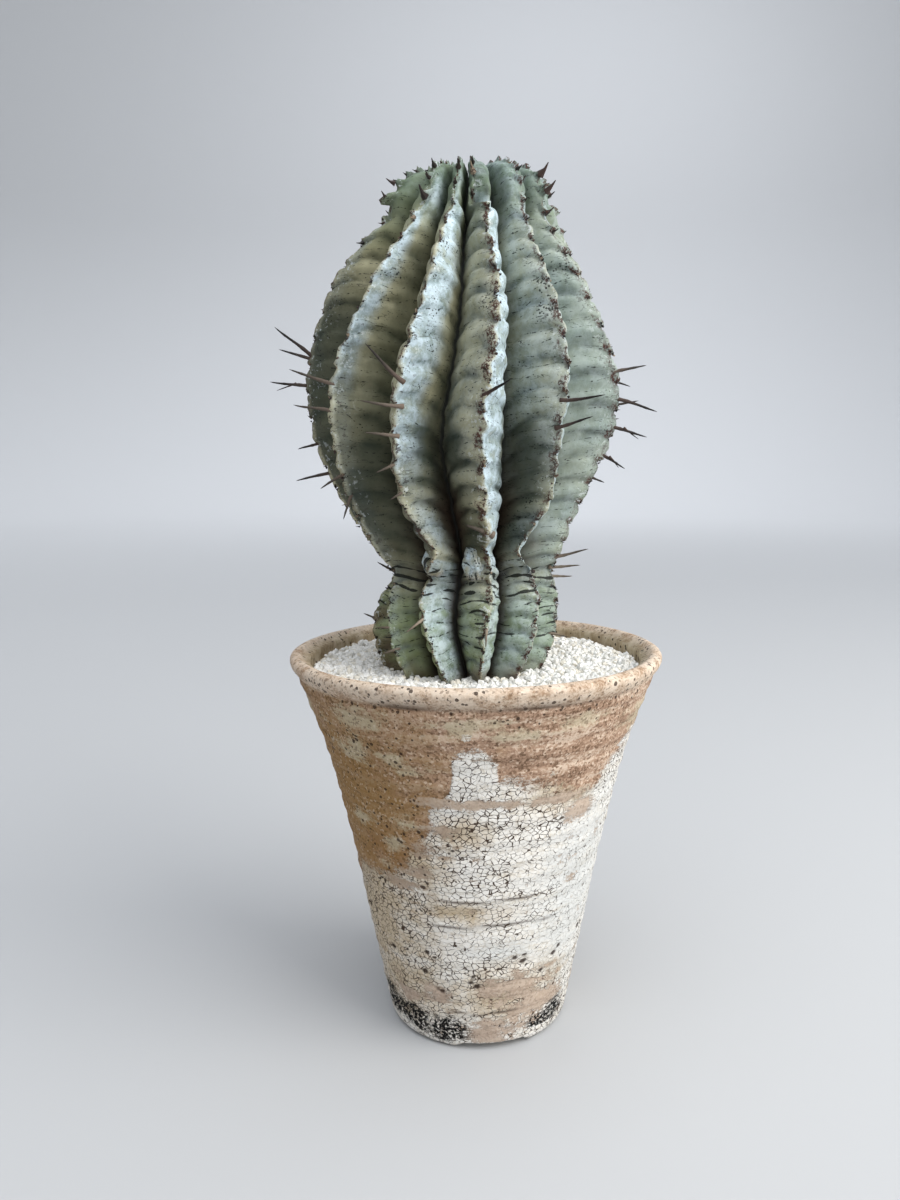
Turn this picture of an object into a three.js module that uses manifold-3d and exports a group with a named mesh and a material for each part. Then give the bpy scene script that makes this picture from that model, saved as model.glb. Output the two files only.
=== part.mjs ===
// African milk barrel in a hand-thrown stoneware pot.
// Units are millimetres, +Z is up, the origin is the centre of the pot's foot on the surface it stands on,
// and the front of the plant faces -Y. Azimuths are degrees from the front, positive to the right.

import * as THREE from 'three';
import { mergeVertices } from 'three/addons/utils/BufferGeometryUtils.js';
import Module from 'manifold-3d';

// Pot
const RIM_RADIUS = 75;
const POT_HEIGHT = 155;
const WALL = 5.5;
const FLOOR_TOP = 9;
const FLOOR_UNDERSIDE = 3.5;
const FOOT_RING_INNER = 24.5;
const DRAIN_RADIUS = 6;
const POT_SIDES = 48;
// Radius and height up the outside of the wall, from the foot's rounded corner to under the lip
const POT_OUTSIDE = [
  [32.6, 0], [36, 1.5], [37.6, 5], [38.8, 11], [45.5, 45], [49.1, 65], [53.5, 85], [58.1, 105],
  [62.2, 120], [66.5, 132], [72.3, 148],
];
// The lip is a bead: radius and height of its outline from outside to inside
const POT_LIP = [[74.4, 150.6], [RIM_RADIUS, 152.8], [73.8, 154.7], [71.6, POT_HEIGHT], [69.4, 153]];
const NOTCHES = { count: 3, first: 8, width: 32, narrowing: 4, height: 2 };

// Fill
const CLEARANCE = 0.35;
const SOIL_TOP = 137;
const GRAVEL_BOTTOM = SOIL_TOP + CLEARANCE;
const GRAVEL_TOP = 147;
const GRAVEL_RELIEF = 1.9;
const GRAVEL_RINGS = 9;
const SCREEN = { radius: 15, thickness: 1.1, pitch: 6, bar: 1.8, reach: 2 };

// Stem axis: sideways place by height, and its distance behind the pot's axis
const AXIS_X = [[96, -4.7], [147, -4.7], [165, -3.9], [184, -1.5], [196, -3], [215, -4.8], [265, -3.9], [300, -4],
  [322, -0.7], [332, -0.4], [341, -2]];
const AXIS_Y = -4;

// Stem sections from the root neck to the crown: crest radius and height, valley radius and height
const SECTIONS = [
  [6, 97, 6, 97], [11, 112, 11, 112], [17, 128, 16.5, 128], [25, 138, 19, 138], [31.2, 147, 20, 147],
  [34, 153.2, 21.2, 153.2], [36.2, 161.5, 22.5, 161.5], [36.3, 169.8, 23, 169.6], [34.8, 178, 22.5, 177],
  [32.4, 184.1, 21, 182.5], [35.6, 192.2, 20.5, 189], [42.2, 204.2, 22.5, 200.5], [49.1, 218.2, 26.5, 214.5],
  [55.9, 233.9, 31, 230], [59.4, 247, 33.8, 243.5], [60.1, 259, 34.8, 256], [57, 274.3, 34, 271.5],
  [52.3, 287.4, 31.8, 284.5], [47.2, 297.5, 29.2, 294.5], [38.9, 309.7, 25, 306], [33.2, 319, 21.6, 314.6],
  [29.4, 325.6, 19.4, 321], [26.8, 330.4, 17, 326.4], [21.8, 334.6, 13.6, 330.8], [15, 337, 9.6, 333.6],
  [8.5, 337.3, 5.6, 335], [3, 335.6, 2.4, 334.8],
];
const CROWN_CENTRE_HEIGHT = 334.8;

// Ribs: azimuth of every crest at these heights. The first six are seen from the front; the last five are the back's.
const RIB_HEIGHTS = [147, 165, 184, 196, 215, 240, 265, 295, 325];
const RIB_TRACKS = [
  [-80, -86, -98, -96, -92, -90, -88, -78, -62],
  [-43, -53, -68, -66, -61, -54, -48, -36, -27],
  [-12, -23, -34, -19, -26, -24, -20, -12, -10],
  [10, 10, 12, 11, 9, 6, 9, 13, 7],
  [37, 44, 47, 31, 40, 35, 36, 35, 33],
  [72, 80, 84, 76, 82, 80, 68, 58, 51],
  [112, 116, 110, 107, 114, 113, 104, 92, 86],
  [146, 148, 140, 143, 149, 147, 140, 131, 124],
  [178, 176, 172, 178, 181, 177, 175, 170, 166],
  [210, 205, 208, 213, 209, 206, 208, 207, 208],
  [243, 237, 235, 238, 236, 237, 240, 246, 252],
];
// Where each valley lies between its two crests: 0.5 is half way
const VALLEY_TRACKS = [
  [0.5, 0.45, 0.5, 0.5, 0.45, 0.5, 0.5, 0.5, 0.5],
  [0.5, 0.5, 0.5, 0.55, 0.55, 0.5, 0.5, 0.52, 0.5],
  [0.68, 0.42, 0.43, 0.38, 0.5, 0.35, 0.45, 0.48, 0.5],
  [0.5, 0.58, 0.45, 0.68, 0.66, 0.66, 0.52, 0.6, 0.55],
  [0.5, 0.5, 0.5, 0.5, 0.55, 0.5, 0.5, 0.5, 0.5],
  [0.5, 0.55, 0.5, 0.45, 0.5, 0.55, 0.5, 0.5, 0.5],
  [0.45, 0.5, 0.55, 0.5, 0.45, 0.5, 0.5, 0.5, 0.5],
  [0.5, 0.5, 0.45, 0.55, 0.5, 0.45, 0.5, 0.5, 0.5],
  [0.55, 0.5, 0.5, 0.45, 0.5, 0.55, 0.5, 0.5, 0.5],
  [0.5, 0.45, 0.5, 0.5, 0.55, 0.5, 0.5, 0.5, 0.5],
  [0.5, 0.5, 0.5, 0.55, 0.5, 0.5, 0.45, 0.5, 0.5],
];
const RIBS = RIB_TRACKS.length;
// Places across a rib's two faces, from its crest (0) to its valley (1)
const FACE_STEPS = [0, 0.3, 0.68];

// Teeth: one swelling of the crest and of the face beside it for each leaf that the rib has grown
const TOOTH_PITCH = 7.2;
const TOOTH_START = 151;
const TOOTH_HEIGHT = 0.6;
const TOOTH_GAP_DEPTH = 0.8;
const FACE_BAND = 0.45;

// Spines: [rib, height of the base, length, azimuth it points to, rise in degrees]
const SPINES = [
  [0, 270, 17.8, -92, 38], [0, 269, 12.4, -86, 17], [0, 259, 14.8, -92, 3], [0, 237, 7.8, -95, -14],
  [0, 225.5, 13, -88, -9], [0, 187, 5.5, -80, 25], [0, 168, 5, -78, 20],
  [1, 257, 15, -62, 14], [1, 247.5, 13, -66, 6], [1, 225, 9.5, -60, -25], [1, 216, 7.6, -52, -65],
  [1, 167.5, 5, -60, 3], [1, 159, 5, -62, -12],
  [2, 257, 16, -55, 37], [2, 248, 13.2, -60, 4], [2, 238.5, 10.5, -60, 8], [2, 228.5, 7.5, -50, -18],
  [2, 219, 5.5, -48, -28], [2, 172, 9.5, -46, -24],
  [3, 251.5, 11.5, 42, 17], [3, 168.5, 6.5, -12, -50],
  [4, 249.5, 13.6, 60, 1], [4, 241, 11.6, 60, 15],
  [5, 261.5, 10.5, 88, 9], [5, 251.5, 15, 86, -15], [5, 241.5, 13.2, 88, -16], [5, 231, 9.8, 86, -28],
  [5, 222.5, 4.8, 84, -22], [5, 192.5, 12, 84, 12], [5, 188, 10, 88, 3], [5, 184, 8, 92, -3],
  [5, 161.5, 5.2, 86, -15],
];
const SPINE_RADIUS = 0.85;
const SPINE_SINK = 4;
// The back ribs carry the same kind of spines, placed by rule with a seeded draw
const BACK_SPINES = { heights: [265, 254, 243, 231, 218, 167], lengths: [11, 14, 13, 10, 6, 5] };
// Horns: the brown tips of the youngest teeth
const HORNS = { fromHeight: 318, length: 3.8, radius: 1.1, sink: 2.2, rise: 42 };
// Woody knobs where two ribs are pinched off at the waist: [azimuth, height, distance from the stem's axis, radius]
const KNOBS = [[-24, 191, 33, 5.2], [5, 190, 31.5, 6.2], [146, 188, 31, 5], [236, 189, 32, 4.6]];

const wasm = await Module();
wasm.setup();

const radians = THREE.MathUtils.degToRad;

function seededRandom(seed) {
  let state = seed >>> 0;
  return () => {
    state = (Math.imul(state, 1664525) + 1013904223) >>> 0;
    return state / 4294967296;
  };
}

// Smooth value through [x, y] points, level with the end points outside them
function smooth(points, x) {
  const last = points.length - 1;
  if (x <= points[0][0]) return points[0][1];
  if (x >= points[last][0]) return points[last][1];
  let k = 0;
  while (x > points[k + 1][0]) k += 1;
  const slope = (i) => {
    const low = points[Math.max(i - 1, 0)];
    const high = points[Math.min(i + 1, last)];
    return (high[1] - low[1]) / (high[0] - low[0]);
  };
  const [x0, y0] = points[k];
  const [x1, y1] = points[k + 1];
  const h = x1 - x0;
  const t = (x - x0) / h;
  const t2 = t * t;
  const t3 = t2 * t;
  return (2 * t3 - 3 * t2 + 1) * y0 + (t3 - 2 * t2 + t) * h * slope(k)
    + (3 * t2 - 2 * t3) * y1 + (t3 - t2) * h * slope(k + 1);
}

// The crest's length from the root neck is the measure that runs up the stem
const crestLengths = SECTIONS.reduce((lengths, [r, z], k) => {
  if (k === 0) return [0];
  const [r0, z0] = SECTIONS[k - 1];
  return [...lengths, lengths[k - 1] + Math.hypot(r - r0, z - z0)];
}, []);
const sectionCurves = [0, 1, 2, 3].map((column) => SECTIONS.map((row, k) => [crestLengths[k], row[column]]));
const tracks = (table) => table.map((row) => row.map((value, k) => [RIB_HEIGHTS[k], value]));
const ribTracks = tracks(RIB_TRACKS);
const valleyTracks = tracks(VALLEY_TRACKS);

function sectionAt(s) {
  const [crestR, crestZ, valleyR, valleyZ] = sectionCurves.map((curve) => smooth(curve, s));
  return { crestR, crestZ, valleyR, valleyZ };
}

// The crest length at which the crest reaches a height on its way up
function lengthAtHeight(z) {
  let s = 0;
  while (sectionAt(s).crestZ < z) s += 0.25;
  return s;
}

function crestAzimuth(rib, z) {
  const turns = Math.floor(rib / RIBS);
  return smooth(ribTracks[rib - turns * RIBS], z) + 360 * turns;
}

// 1 on a crest, 0 in a valley: keen at the crest, slightly swollen down the face, creased at the valley
function ribShape(step) {
  return 0.7 * (1 - step) ** 1.3 + 0.3 * (1 - step ** 1.5);
}

function stemPoint(azimuth, radius, z) {
  const a = radians(azimuth);
  return new THREE.Vector3(smooth(AXIS_X, z) + radius * Math.sin(a), AXIS_Y - radius * Math.cos(a), z);
}

// One point of the stem's skin: the rib, the side of it (-1 or 1), the step across its face, the length up the crest,
// and how far this row stands out as a tooth
function skinPoint(rib, side, step, s, swell) {
  const { crestR, crestZ, valleyR, valleyZ } = sectionAt(s);
  const crest = crestAzimuth(rib, crestZ);
  const left = side < 0 ? rib - 1 : rib;
  const share = smooth(valleyTracks[((left % RIBS) + RIBS) % RIBS], crestZ);
  const from = crestAzimuth(left, crestZ);
  const valley = from + share * (crestAzimuth(left + 1, crestZ) - from);
  const depth = ribShape(step);
  const tooth = step === 0 ? swell : 0.5 * FACE_BAND * Math.sign(swell) * (1 - step);
  const radius = valleyR + (crestR - valleyR) * depth + tooth;
  return stemPoint(crest + (valley - crest) * step, radius, valleyZ + (crestZ - valleyZ) * depth);
}

// A row of the skin, once round, starting at the first rib's crest
function skinRow(s, swell) {
  const row = [];
  for (let rib = 0; rib < RIBS; rib += 1) {
    FACE_STEPS.forEach((step) => row.push(skinPoint(rib, 1, step, s, swell)));
    row.push(skinPoint(rib, 1, 1, s, swell));
    [...FACE_STEPS].reverse().slice(0, -1).forEach((step) => row.push(skinPoint(rib + 1, -1, step, s, swell)));
  }
  return row;
}

// A closed solid from rows of points that are joined side by side and capped by a point at each end
function solidFromRows(rows, bottom, top) {
  const count = rows[0].length;
  const points = [...rows.flat(), bottom, top];
  const at = (row, k) => row * count + (k % count);
  const bottomIndex = rows.length * count;
  const faces = [];
  for (let k = 0; k < count; k += 1) {
    faces.push(bottomIndex, at(0, k + 1), at(0, k));
    faces.push(bottomIndex + 1, at(rows.length - 1, k), at(rows.length - 1, k + 1));
  }
  for (let row = 0; row < rows.length - 1; row += 1) {
    for (let k = 0; k < count; k += 1) {
      faces.push(at(row, k), at(row, k + 1), at(row + 1, k + 1));
      faces.push(at(row, k), at(row + 1, k + 1), at(row + 1, k));
    }
  }
  const geometry = new THREE.BufferGeometry().setFromPoints(points);
  geometry.setIndex(faces);
  return geometry;
}

function toManifold(source) {
  const geometry = source.clone();
  geometry.deleteAttribute('normal');
  geometry.deleteAttribute('uv');
  const merged = mergeVertices(geometry, 1e-4);
  return new wasm.Manifold(new wasm.Mesh({
    numProp: 3,
    vertProperties: Float32Array.from(merged.attributes.position.array),
    triVerts: Uint32Array.from(merged.index.array),
  }));
}

function toGeometry(manifold) {
  const { vertProperties, triVerts } = manifold.getMesh();
  const geometry = new THREE.BufferGeometry();
  geometry.setAttribute('position', new THREE.BufferAttribute(Float32Array.from(vertProperties), 3));
  geometry.setIndex(new THREE.BufferAttribute(Uint32Array.from(triVerts), 1));
  geometry.computeVertexNormals();
  return geometry;
}

// A three-sided needle from a point, along a direction given by azimuth and rise
function needle(base, azimuth, rise, length, radius, sink) {
  const a = radians(azimuth);
  const e = radians(rise);
  const direction = new THREE.Vector3(Math.sin(a) * Math.cos(e), -Math.cos(a) * Math.cos(e), Math.sin(e));
  const geometry = new THREE.ConeGeometry(radius, length + sink, 3);
  geometry.translate(0, (length + sink) / 2 - sink, 0);
  geometry.applyQuaternion(new THREE.Quaternion().setFromUnitVectors(new THREE.Vector3(0, 1, 0), direction));
  geometry.translate(base.x, base.y, base.z);
  return geometry;
}

function crestPoint(rib, s) {
  return skinPoint(rib, 1, 0, s, 0);
}

function allSpines() {
  const random = seededRandom(11);
  const spines = SPINES.map((spine) => [...spine]);
  for (let rib = 6; rib < RIBS; rib += 1) {
    BACK_SPINES.heights.forEach((height, k) => {
      const z = height + 8 * (random() - 0.5);
      const length = BACK_SPINES.lengths[k] * (0.8 + 0.4 * random());
      const azimuth = crestAzimuth(rib, z) + 40 * (random() - 0.5);
      spines.push([rib, z, length, azimuth, 40 * (random() - 0.45)]);
    });
  }
  return spines;
}

function teethLengths() {
  const end = crestLengths[crestLengths.length - 1];
  const lengths = [];
  for (let s = lengthAtHeight(TOOTH_START); s < end - TOOTH_PITCH / 2; s += TOOTH_PITCH) lengths.push(s);
  return lengths;
}

function buildStem() {
  const teeth = teethLengths();
  const rows = SECTIONS.filter(([, z]) => z < TOOTH_START).map((row, k) => skinRow(crestLengths[k], 0));
  teeth.forEach((s) => {
    rows.push(skinRow(s, TOOTH_HEIGHT));
    rows.push(skinRow(s + TOOTH_PITCH / 2, -TOOTH_GAP_DEPTH));
  });
  const bottom = stemPoint(0, 0, SECTIONS[0][1] - 2);
  const top = stemPoint(0, 0, CROWN_CENTRE_HEIGHT);
  let stem = toManifold(solidFromRows(rows, bottom, top));
  const additions = allSpines().map(([rib, z, length, azimuth, rise]) => needle(
    crestPoint(rib, lengthAtHeight(z)), azimuth, rise, length, SPINE_RADIUS, SPINE_SINK));
  teeth.filter((s) => sectionAt(s).crestZ > HORNS.fromHeight && sectionAt(s).crestR > 9).forEach((s) => {
    for (let rib = 0; rib < RIBS; rib += 1) {
      const azimuth = crestAzimuth(rib, sectionAt(s).crestZ);
      additions.push(needle(crestPoint(rib, s), azimuth, HORNS.rise, HORNS.length, HORNS.radius, HORNS.sink));
    }
  });
  KNOBS.forEach(([azimuth, z, distance, radius]) => {
    const knob = new THREE.IcosahedronGeometry(radius, 1);
    const centre = stemPoint(azimuth, distance, z);
    knob.translate(centre.x, centre.y, centre.z);
    additions.push(knob);
  });
  additions.forEach((geometry) => {
    stem = stem.add(toManifold(geometry));
  });
  return toGeometry(stem);
}

// A turned solid about +Z from a profile of [radius, height] points that runs counter-clockwise
function turned(profile, sides) {
  const geometry = new THREE.LatheGeometry(profile.map(([r, z]) => new THREE.Vector2(r, z)), sides);
  geometry.rotateX(Math.PI / 2);
  geometry.rotateZ(Math.PI / 2);
  return geometry;
}

function potInside(clearance) {
  const inside = POT_OUTSIDE.filter(([, z]) => z > FLOOR_TOP + 4).map(([r, z]) => [r - WALL - clearance, z]);
  return [[inside[0][0] - 4, FLOOR_TOP + clearance], ...inside];
}

function buildPot() {
  const profile = [
    ...POT_OUTSIDE, ...POT_LIP, ...potInside(0).reverse(),
    [DRAIN_RADIUS, FLOOR_TOP], [DRAIN_RADIUS, FLOOR_UNDERSIDE],
    [FOOT_RING_INNER - 1.5, FLOOR_UNDERSIDE], [FOOT_RING_INNER, 0], POT_OUTSIDE[0],
  ];
  let pot = toManifold(turned(profile, POT_SIDES));
  const half = NOTCHES.width / 2;
  const outline = new THREE.Shape([
    new THREE.Vector2(-half, -1), new THREE.Vector2(half, -1), new THREE.Vector2(half, 0),
    new THREE.Vector2(half - NOTCHES.narrowing, NOTCHES.height),
    new THREE.Vector2(NOTCHES.narrowing - half, NOTCHES.height), new THREE.Vector2(-half, 0),
  ]);
  for (let k = 0; k < NOTCHES.count; k += 1) {
    const notch = new THREE.ExtrudeGeometry(outline, { depth: 30, bevelEnabled: false });
    notch.translate(0, 0, 15);
    notch.rotateX(Math.PI / 2);
    notch.rotateZ(radians(NOTCHES.first + 360 * k / NOTCHES.count));
    pot = pot.subtract(toManifold(notch));
  }
  return toGeometry(pot);
}

function buildSoil() {
  const wall = potInside(CLEARANCE).filter(([, z]) => z < SOIL_TOP);
  const [lowR, lowZ] = wall[wall.length - 1];
  const [highR, highZ] = POT_OUTSIDE.find(([, z]) => z > SOIL_TOP);
  const topR = lowR + (highR - WALL - CLEARANCE - lowR) * (SOIL_TOP - lowZ) / (highZ - lowZ);
  const floor = FLOOR_TOP + SCREEN.thickness + 2 * CLEARANCE;
  const soil = turned([[0, floor], [wall[0][0], floor], ...wall.slice(1), [topR, SOIL_TOP], [0, SOIL_TOP]], 32);
  const neck = SECTIONS.filter(([, z]) => z < GRAVEL_TOP).map(([r, z]) => [r + 2 * CLEARANCE, z]);
  const hole = turned([[0, neck[0][1] - 3], ...neck, [0, neck[neck.length - 1][1]]], 20);
  hole.translate(AXIS_X[0][1], AXIS_Y, 0);
  return toGeometry(toManifold(soil).subtract(toManifold(hole)));
}

// Stones: a ring round the stem whose top is raised at random, larger than life
function buildGravel() {
  const random = seededRandom(5);
  const innerRow = (z, clearance) => {
    const row = skinRow(lengthAtHeight(z), 0);
    const centre = stemPoint(0, 0, z);
    return row.map((p) => {
      const out = p.clone().sub(centre).setZ(0);
      return centre.clone().add(out.setLength(out.length() + clearance));
    });
  };
  const inner = innerRow(GRAVEL_TOP + 2.5, CLEARANCE);
  const lowInner = innerRow(GRAVEL_BOTTOM, 2 * CLEARANCE);
  const wallByHeight = POT_OUTSIDE.map(([r, z]) => [z, r]);
  const wallRadius = (z) => smooth(wallByHeight, z) - WALL - 1.5 * CLEARANCE;
  const count = inner.length;
  const outerAzimuth = inner.map((p, k) => {
    const own = Math.atan2(p.x, -p.y);
    const even = Math.atan2(inner[0].x, -inner[0].y) + 2 * Math.PI * k / count;
    const turn = Math.round((even - own) / (2 * Math.PI)) * 2 * Math.PI;
    return 0.35 * (own + turn) + 0.65 * even;
  });
  const ring = (share, z, relief) => inner.map((p, k) => {
    const r = wallRadius(z);
    const outer = new THREE.Vector3(r * Math.sin(outerAzimuth[k]), -r * Math.cos(outerAzimuth[k]), z);
    const jitter = share > 0 && share < 1 ? 0.35 * (random() - 0.5) / GRAVEL_RINGS : 0;
    return p.clone().setZ(z).lerp(outer, share + jitter).setZ(z + relief * random());
  });
  const rows = [lowInner.map((p) => p.clone().setZ(GRAVEL_BOTTOM))];
  rows.push(inner.map((p) => p.clone().setZ(GRAVEL_TOP - 2)));
  for (let k = 0; k <= GRAVEL_RINGS; k += 1) rows.push(ring(k / GRAVEL_RINGS, GRAVEL_TOP - 0.9, GRAVEL_RELIEF));
  rows.push(ring(1, GRAVEL_BOTTOM, 0));
  return ringFromRows(rows);
}

// A closed ring: the last row is joined back to the first
function ringFromRows(rows) {
  const count = rows[0].length;
  const at = (row, k) => (row % rows.length) * count + (k % count);
  const faces = [];
  for (let row = 0; row < rows.length; row += 1) {
    for (let k = 0; k < count; k += 1) {
      faces.push(at(row, k), at(row + 1, k + 1), at(row, k + 1));
      faces.push(at(row, k), at(row + 1, k), at(row + 1, k + 1));
    }
  }
  const geometry = new THREE.BufferGeometry().setFromPoints(rows.flat());
  geometry.setIndex(faces);
  geometry.computeVertexNormals();
  return geometry;
}

// Plastic net: a disc with square holes
function buildScreen() {
  const z = FLOOR_TOP + CLEARANCE;
  const disc = new THREE.CylinderGeometry(SCREEN.radius, SCREEN.radius, SCREEN.thickness, 24);
  disc.rotateX(Math.PI / 2);
  disc.translate(0, 0, z + SCREEN.thickness / 2);
  let net = toManifold(disc);
  const opening = SCREEN.pitch - SCREEN.bar;
  for (let i = -SCREEN.reach; i <= SCREEN.reach; i += 1) {
    for (let j = -SCREEN.reach; j <= SCREEN.reach; j += 1) {
      if (Math.hypot(i, j) * SCREEN.pitch + opening < SCREEN.radius) {
        const hole = new THREE.BoxGeometry(opening, opening, 4);
        hole.translate(i * SCREEN.pitch, j * SCREEN.pitch, z);
        net = net.subtract(toManifold(hole));
      }
    }
  }
  return toGeometry(net);
}

function part(name, geometry, color, roughness) {
  const mesh = new THREE.Mesh(geometry, new THREE.MeshStandardMaterial({ color, roughness, metalness: 0 }));
  mesh.name = name;
  return mesh;
}

const group = new THREE.Group();
group.add(
  part('pot', buildPot(), 0xb9a48e, 0.9),
  part('drain_screen', buildScreen(), 0x2b2c2b, 0.6),
  part('potting_mix', buildSoil(), 0x5a4636, 1),
  part('gravel_top_dressing', buildGravel(), 0xe9e8e4, 0.85),
  part('milk_barrel_stem', buildStem(), 0x7f9084, 0.7),
);

export default group;
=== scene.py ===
"""The looks of a potted African milk barrel: waxy stem, dry flower stalks, white stones and a slipped pot."""

import logging
import math
from dataclasses import dataclass, field
from enum import Enum
from typing import NamedTuple, Sequence

import bpy
import numpy as np
from mathutils import Matrix, Vector, noise


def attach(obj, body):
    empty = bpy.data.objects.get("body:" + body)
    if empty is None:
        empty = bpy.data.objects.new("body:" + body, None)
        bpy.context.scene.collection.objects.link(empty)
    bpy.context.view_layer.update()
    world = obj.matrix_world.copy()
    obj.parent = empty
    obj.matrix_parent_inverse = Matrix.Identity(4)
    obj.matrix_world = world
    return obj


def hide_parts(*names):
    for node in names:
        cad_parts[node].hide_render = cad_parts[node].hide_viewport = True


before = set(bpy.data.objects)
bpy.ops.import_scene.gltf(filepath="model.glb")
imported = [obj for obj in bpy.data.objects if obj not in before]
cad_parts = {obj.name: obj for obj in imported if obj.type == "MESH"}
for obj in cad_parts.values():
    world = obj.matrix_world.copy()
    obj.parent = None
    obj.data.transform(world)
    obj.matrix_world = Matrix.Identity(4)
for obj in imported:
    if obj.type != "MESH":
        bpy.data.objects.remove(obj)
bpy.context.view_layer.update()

logging.basicConfig(level=logging.INFO, format="%(message)s")
LOG = logging.getLogger("milk_barrel")

MM = 0.001
BODY = "root"
# The colours that a Mix node takes and gives, by the number of the socket
MIX_FIRST, MIX_SECOND, MIX_RESULT = 6, 7, 2

Array = np.ndarray
Points = Sequence[tuple[float, float]]
Socket = bpy.types.NodeSocket
Piece = bpy.types.Object
Material = bpy.types.Material
# One number for each rib, from the left of the front round the stem
PerRib = Sequence[float]


class Slot(Enum):
    """The record's material slots."""

    STONEWARE = "stoneware"
    PLASTIC = "screen_plastic"
    SOIL = "soil"
    GRAVEL = "white_gravel"
    SKIN = "stem_skin"


def linear(colour: str) -> tuple[float, float, float, float]:
    """Turns an sRGB hex colour to Blender's linear red, green and blue, with an alpha of 1."""
    parts = [int(colour[k:k + 2], 16) / 255 for k in (1, 3, 5)]
    return (*[c / 12.92 if c <= 0.04045 else ((c + 0.055) / 1.055) ** 2.4 for c in parts], 1.0)


def smooth(points: Points, x: Array) -> Array:
    """A smooth curve through points, level outside them.

    Args:
        points: x and y of each point, in order of x.
        x: where the curve is read.

    Returns:
        The curve's height at each x.
    """
    xs, ys = np.array(points, float).T
    low, high = np.maximum(np.arange(len(xs)) - 1, 0), np.minimum(np.arange(len(xs)) + 1, len(xs) - 1)
    slopes = (ys[high] - ys[low]) / (xs[high] - xs[low])
    x = np.clip(np.asarray(x, float), xs[0], xs[-1])
    k = np.clip(np.searchsorted(xs, x, side="right") - 1, 0, len(xs) - 2)
    span = xs[k + 1] - xs[k]
    t = (x - xs[k]) / span
    return ((2 * t**3 - 3 * t**2 + 1) * ys[k] + (t**3 - 2 * t**2 + t) * span * slopes[k]
            + (3 * t**2 - 2 * t**3) * ys[k + 1] + (t**3 - t**2) * span * slopes[k + 1])


def bell(x: Array, centre: float, width: float) -> Array:
    """A soft bump of height 1 round a centre."""
    return np.exp(-(((x - centre) / width) ** 2))


def ease(x: Array, low: float, high: float) -> Array:
    """Rises smoothly from 0 at low to 1 at high."""
    t = np.clip((x - low) / (high - low), 0, 1)
    return t * t * (3 - 2 * t)


def lumps(points: Array, size: float, seed: float) -> Array:
    """Soft noise between about -1 and 1 on points in millimetres.

    Args:
        points: an array of places, three numbers each.
        size: the size of one lump.
        seed: moves the pattern, so that two uses differ.

    Returns:
        One value for each point.
    """
    shift = Vector((seed * 17.3, seed * 5.1, seed * 11.7))
    values = [noise.noise(Vector(p) / size + shift) for p in points.reshape(-1, 3)]
    return np.array(values).reshape(points.shape[:-1])


def outward(azimuth: Array) -> tuple[Array, Array]:
    """The x and y of a direction given in degrees from the front, positive to the right."""
    a = np.radians(azimuth)
    return np.sin(a), -np.cos(a)


def turned_from(azimuth: Array, start: float) -> Array:
    """The turn from one azimuth to another the short way round, from -180 to 180 degrees."""
    return (azimuth - start + 180) % 360 - 180


class Tree:
    """The node tree of one material under construction."""

    def __init__(self, name: str, constants: dict[str, float]) -> None:
        """Starts a material.

        Args:
            name: the material's name.
            constants: what the shader takes where nothing drives it, by socket name.
        """
        self.material = bpy.data.materials.new(name)
        self.material.use_nodes = True
        self.shader = self.material.node_tree.nodes["Principled BSDF"]
        for socket, value in constants.items():
            self.shader.inputs[socket].default_value = value

    def add(self, kind: str, links: dict | None = None, out: int | str = 0, **settings: object) -> Socket:
        """Adds one node.

        Args:
            kind: the node's type, without its ShaderNode prefix.
            links: what each input takes, by name or number: a socket to link, or a value.
            out: the output that is wanted.
            settings: properties of the node; stops gives a colour ramp's places and colours.

        Returns:
            That output's socket.
        """
        made = self.material.node_tree.nodes.new("ShaderNode" + kind)
        for place, (position, colour) in enumerate(settings.pop("stops", ())):
            elements = made.color_ramp.elements
            stop = elements[place] if place < 2 else elements.new(position)
            stop.position, stop.color = position, linear(colour)
        for name, value in settings.items():
            setattr(made, name, value)
        for name, value in (links or {}).items():
            if isinstance(value, Socket):
                self.material.node_tree.links.new(value, made.inputs[name])
            else:
                made.inputs[name].default_value = value
        return made.outputs[out]

    def layered(self, colour: Socket, layers: Sequence[tuple[Socket, float, Socket | str]]) -> Socket:
        """Lays colours over one another.

        Args:
            colour: the lowest one.
            layers: for each layer upwards, where it lies, how dense it is, and its colour.

        Returns:
            The colour of all of them.
        """
        for share, strength, hue in layers:
            share = self.add("Math", {0: share, 1: strength}, operation="MULTIPLY", use_clamp=True)
            links = {0: share, MIX_FIRST: colour, MIX_SECOND: linear(hue) if isinstance(hue, str) else hue}
            colour = self.add("Mix", links, MIX_RESULT, data_type="RGBA")
        return colour

    def finish(self, **sockets: Socket) -> Material:
        """Links results to the shader.

        Args:
            sockets: what the shader's inputs take, with underscores for the spaces in their names.

        Returns:
            The finished material.
        """
        for name, socket in sockets.items():
            self.material.node_tree.links.new(socket, self.shader.inputs[name.replace("_", " ")])
        return self.material


def only(*objects: Piece) -> None:
    """Selects these objects alone and makes the first one active.

    Args:
        objects: the objects.
    """
    bpy.ops.object.select_all(action="DESELECT")
    for one in objects:
        one.select_set(True)
    bpy.context.view_layer.objects.active = objects[0]


def shade(piece: Piece, material: Material, edge: float | None = None) -> None:
    """Gives a piece its material and smooth shading.

    Args:
        piece: the piece.
        material: its only material.
        edge: an angle in degrees past which edges stay sharp; all are smooth if left out.
    """
    piece.data.materials.clear()
    piece.data.materials.append(material)
    only(piece)
    if edge is None:
        bpy.ops.object.shade_smooth()
    else:
        bpy.ops.object.shade_smooth_by_angle(angle=math.radians(edge))


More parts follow.
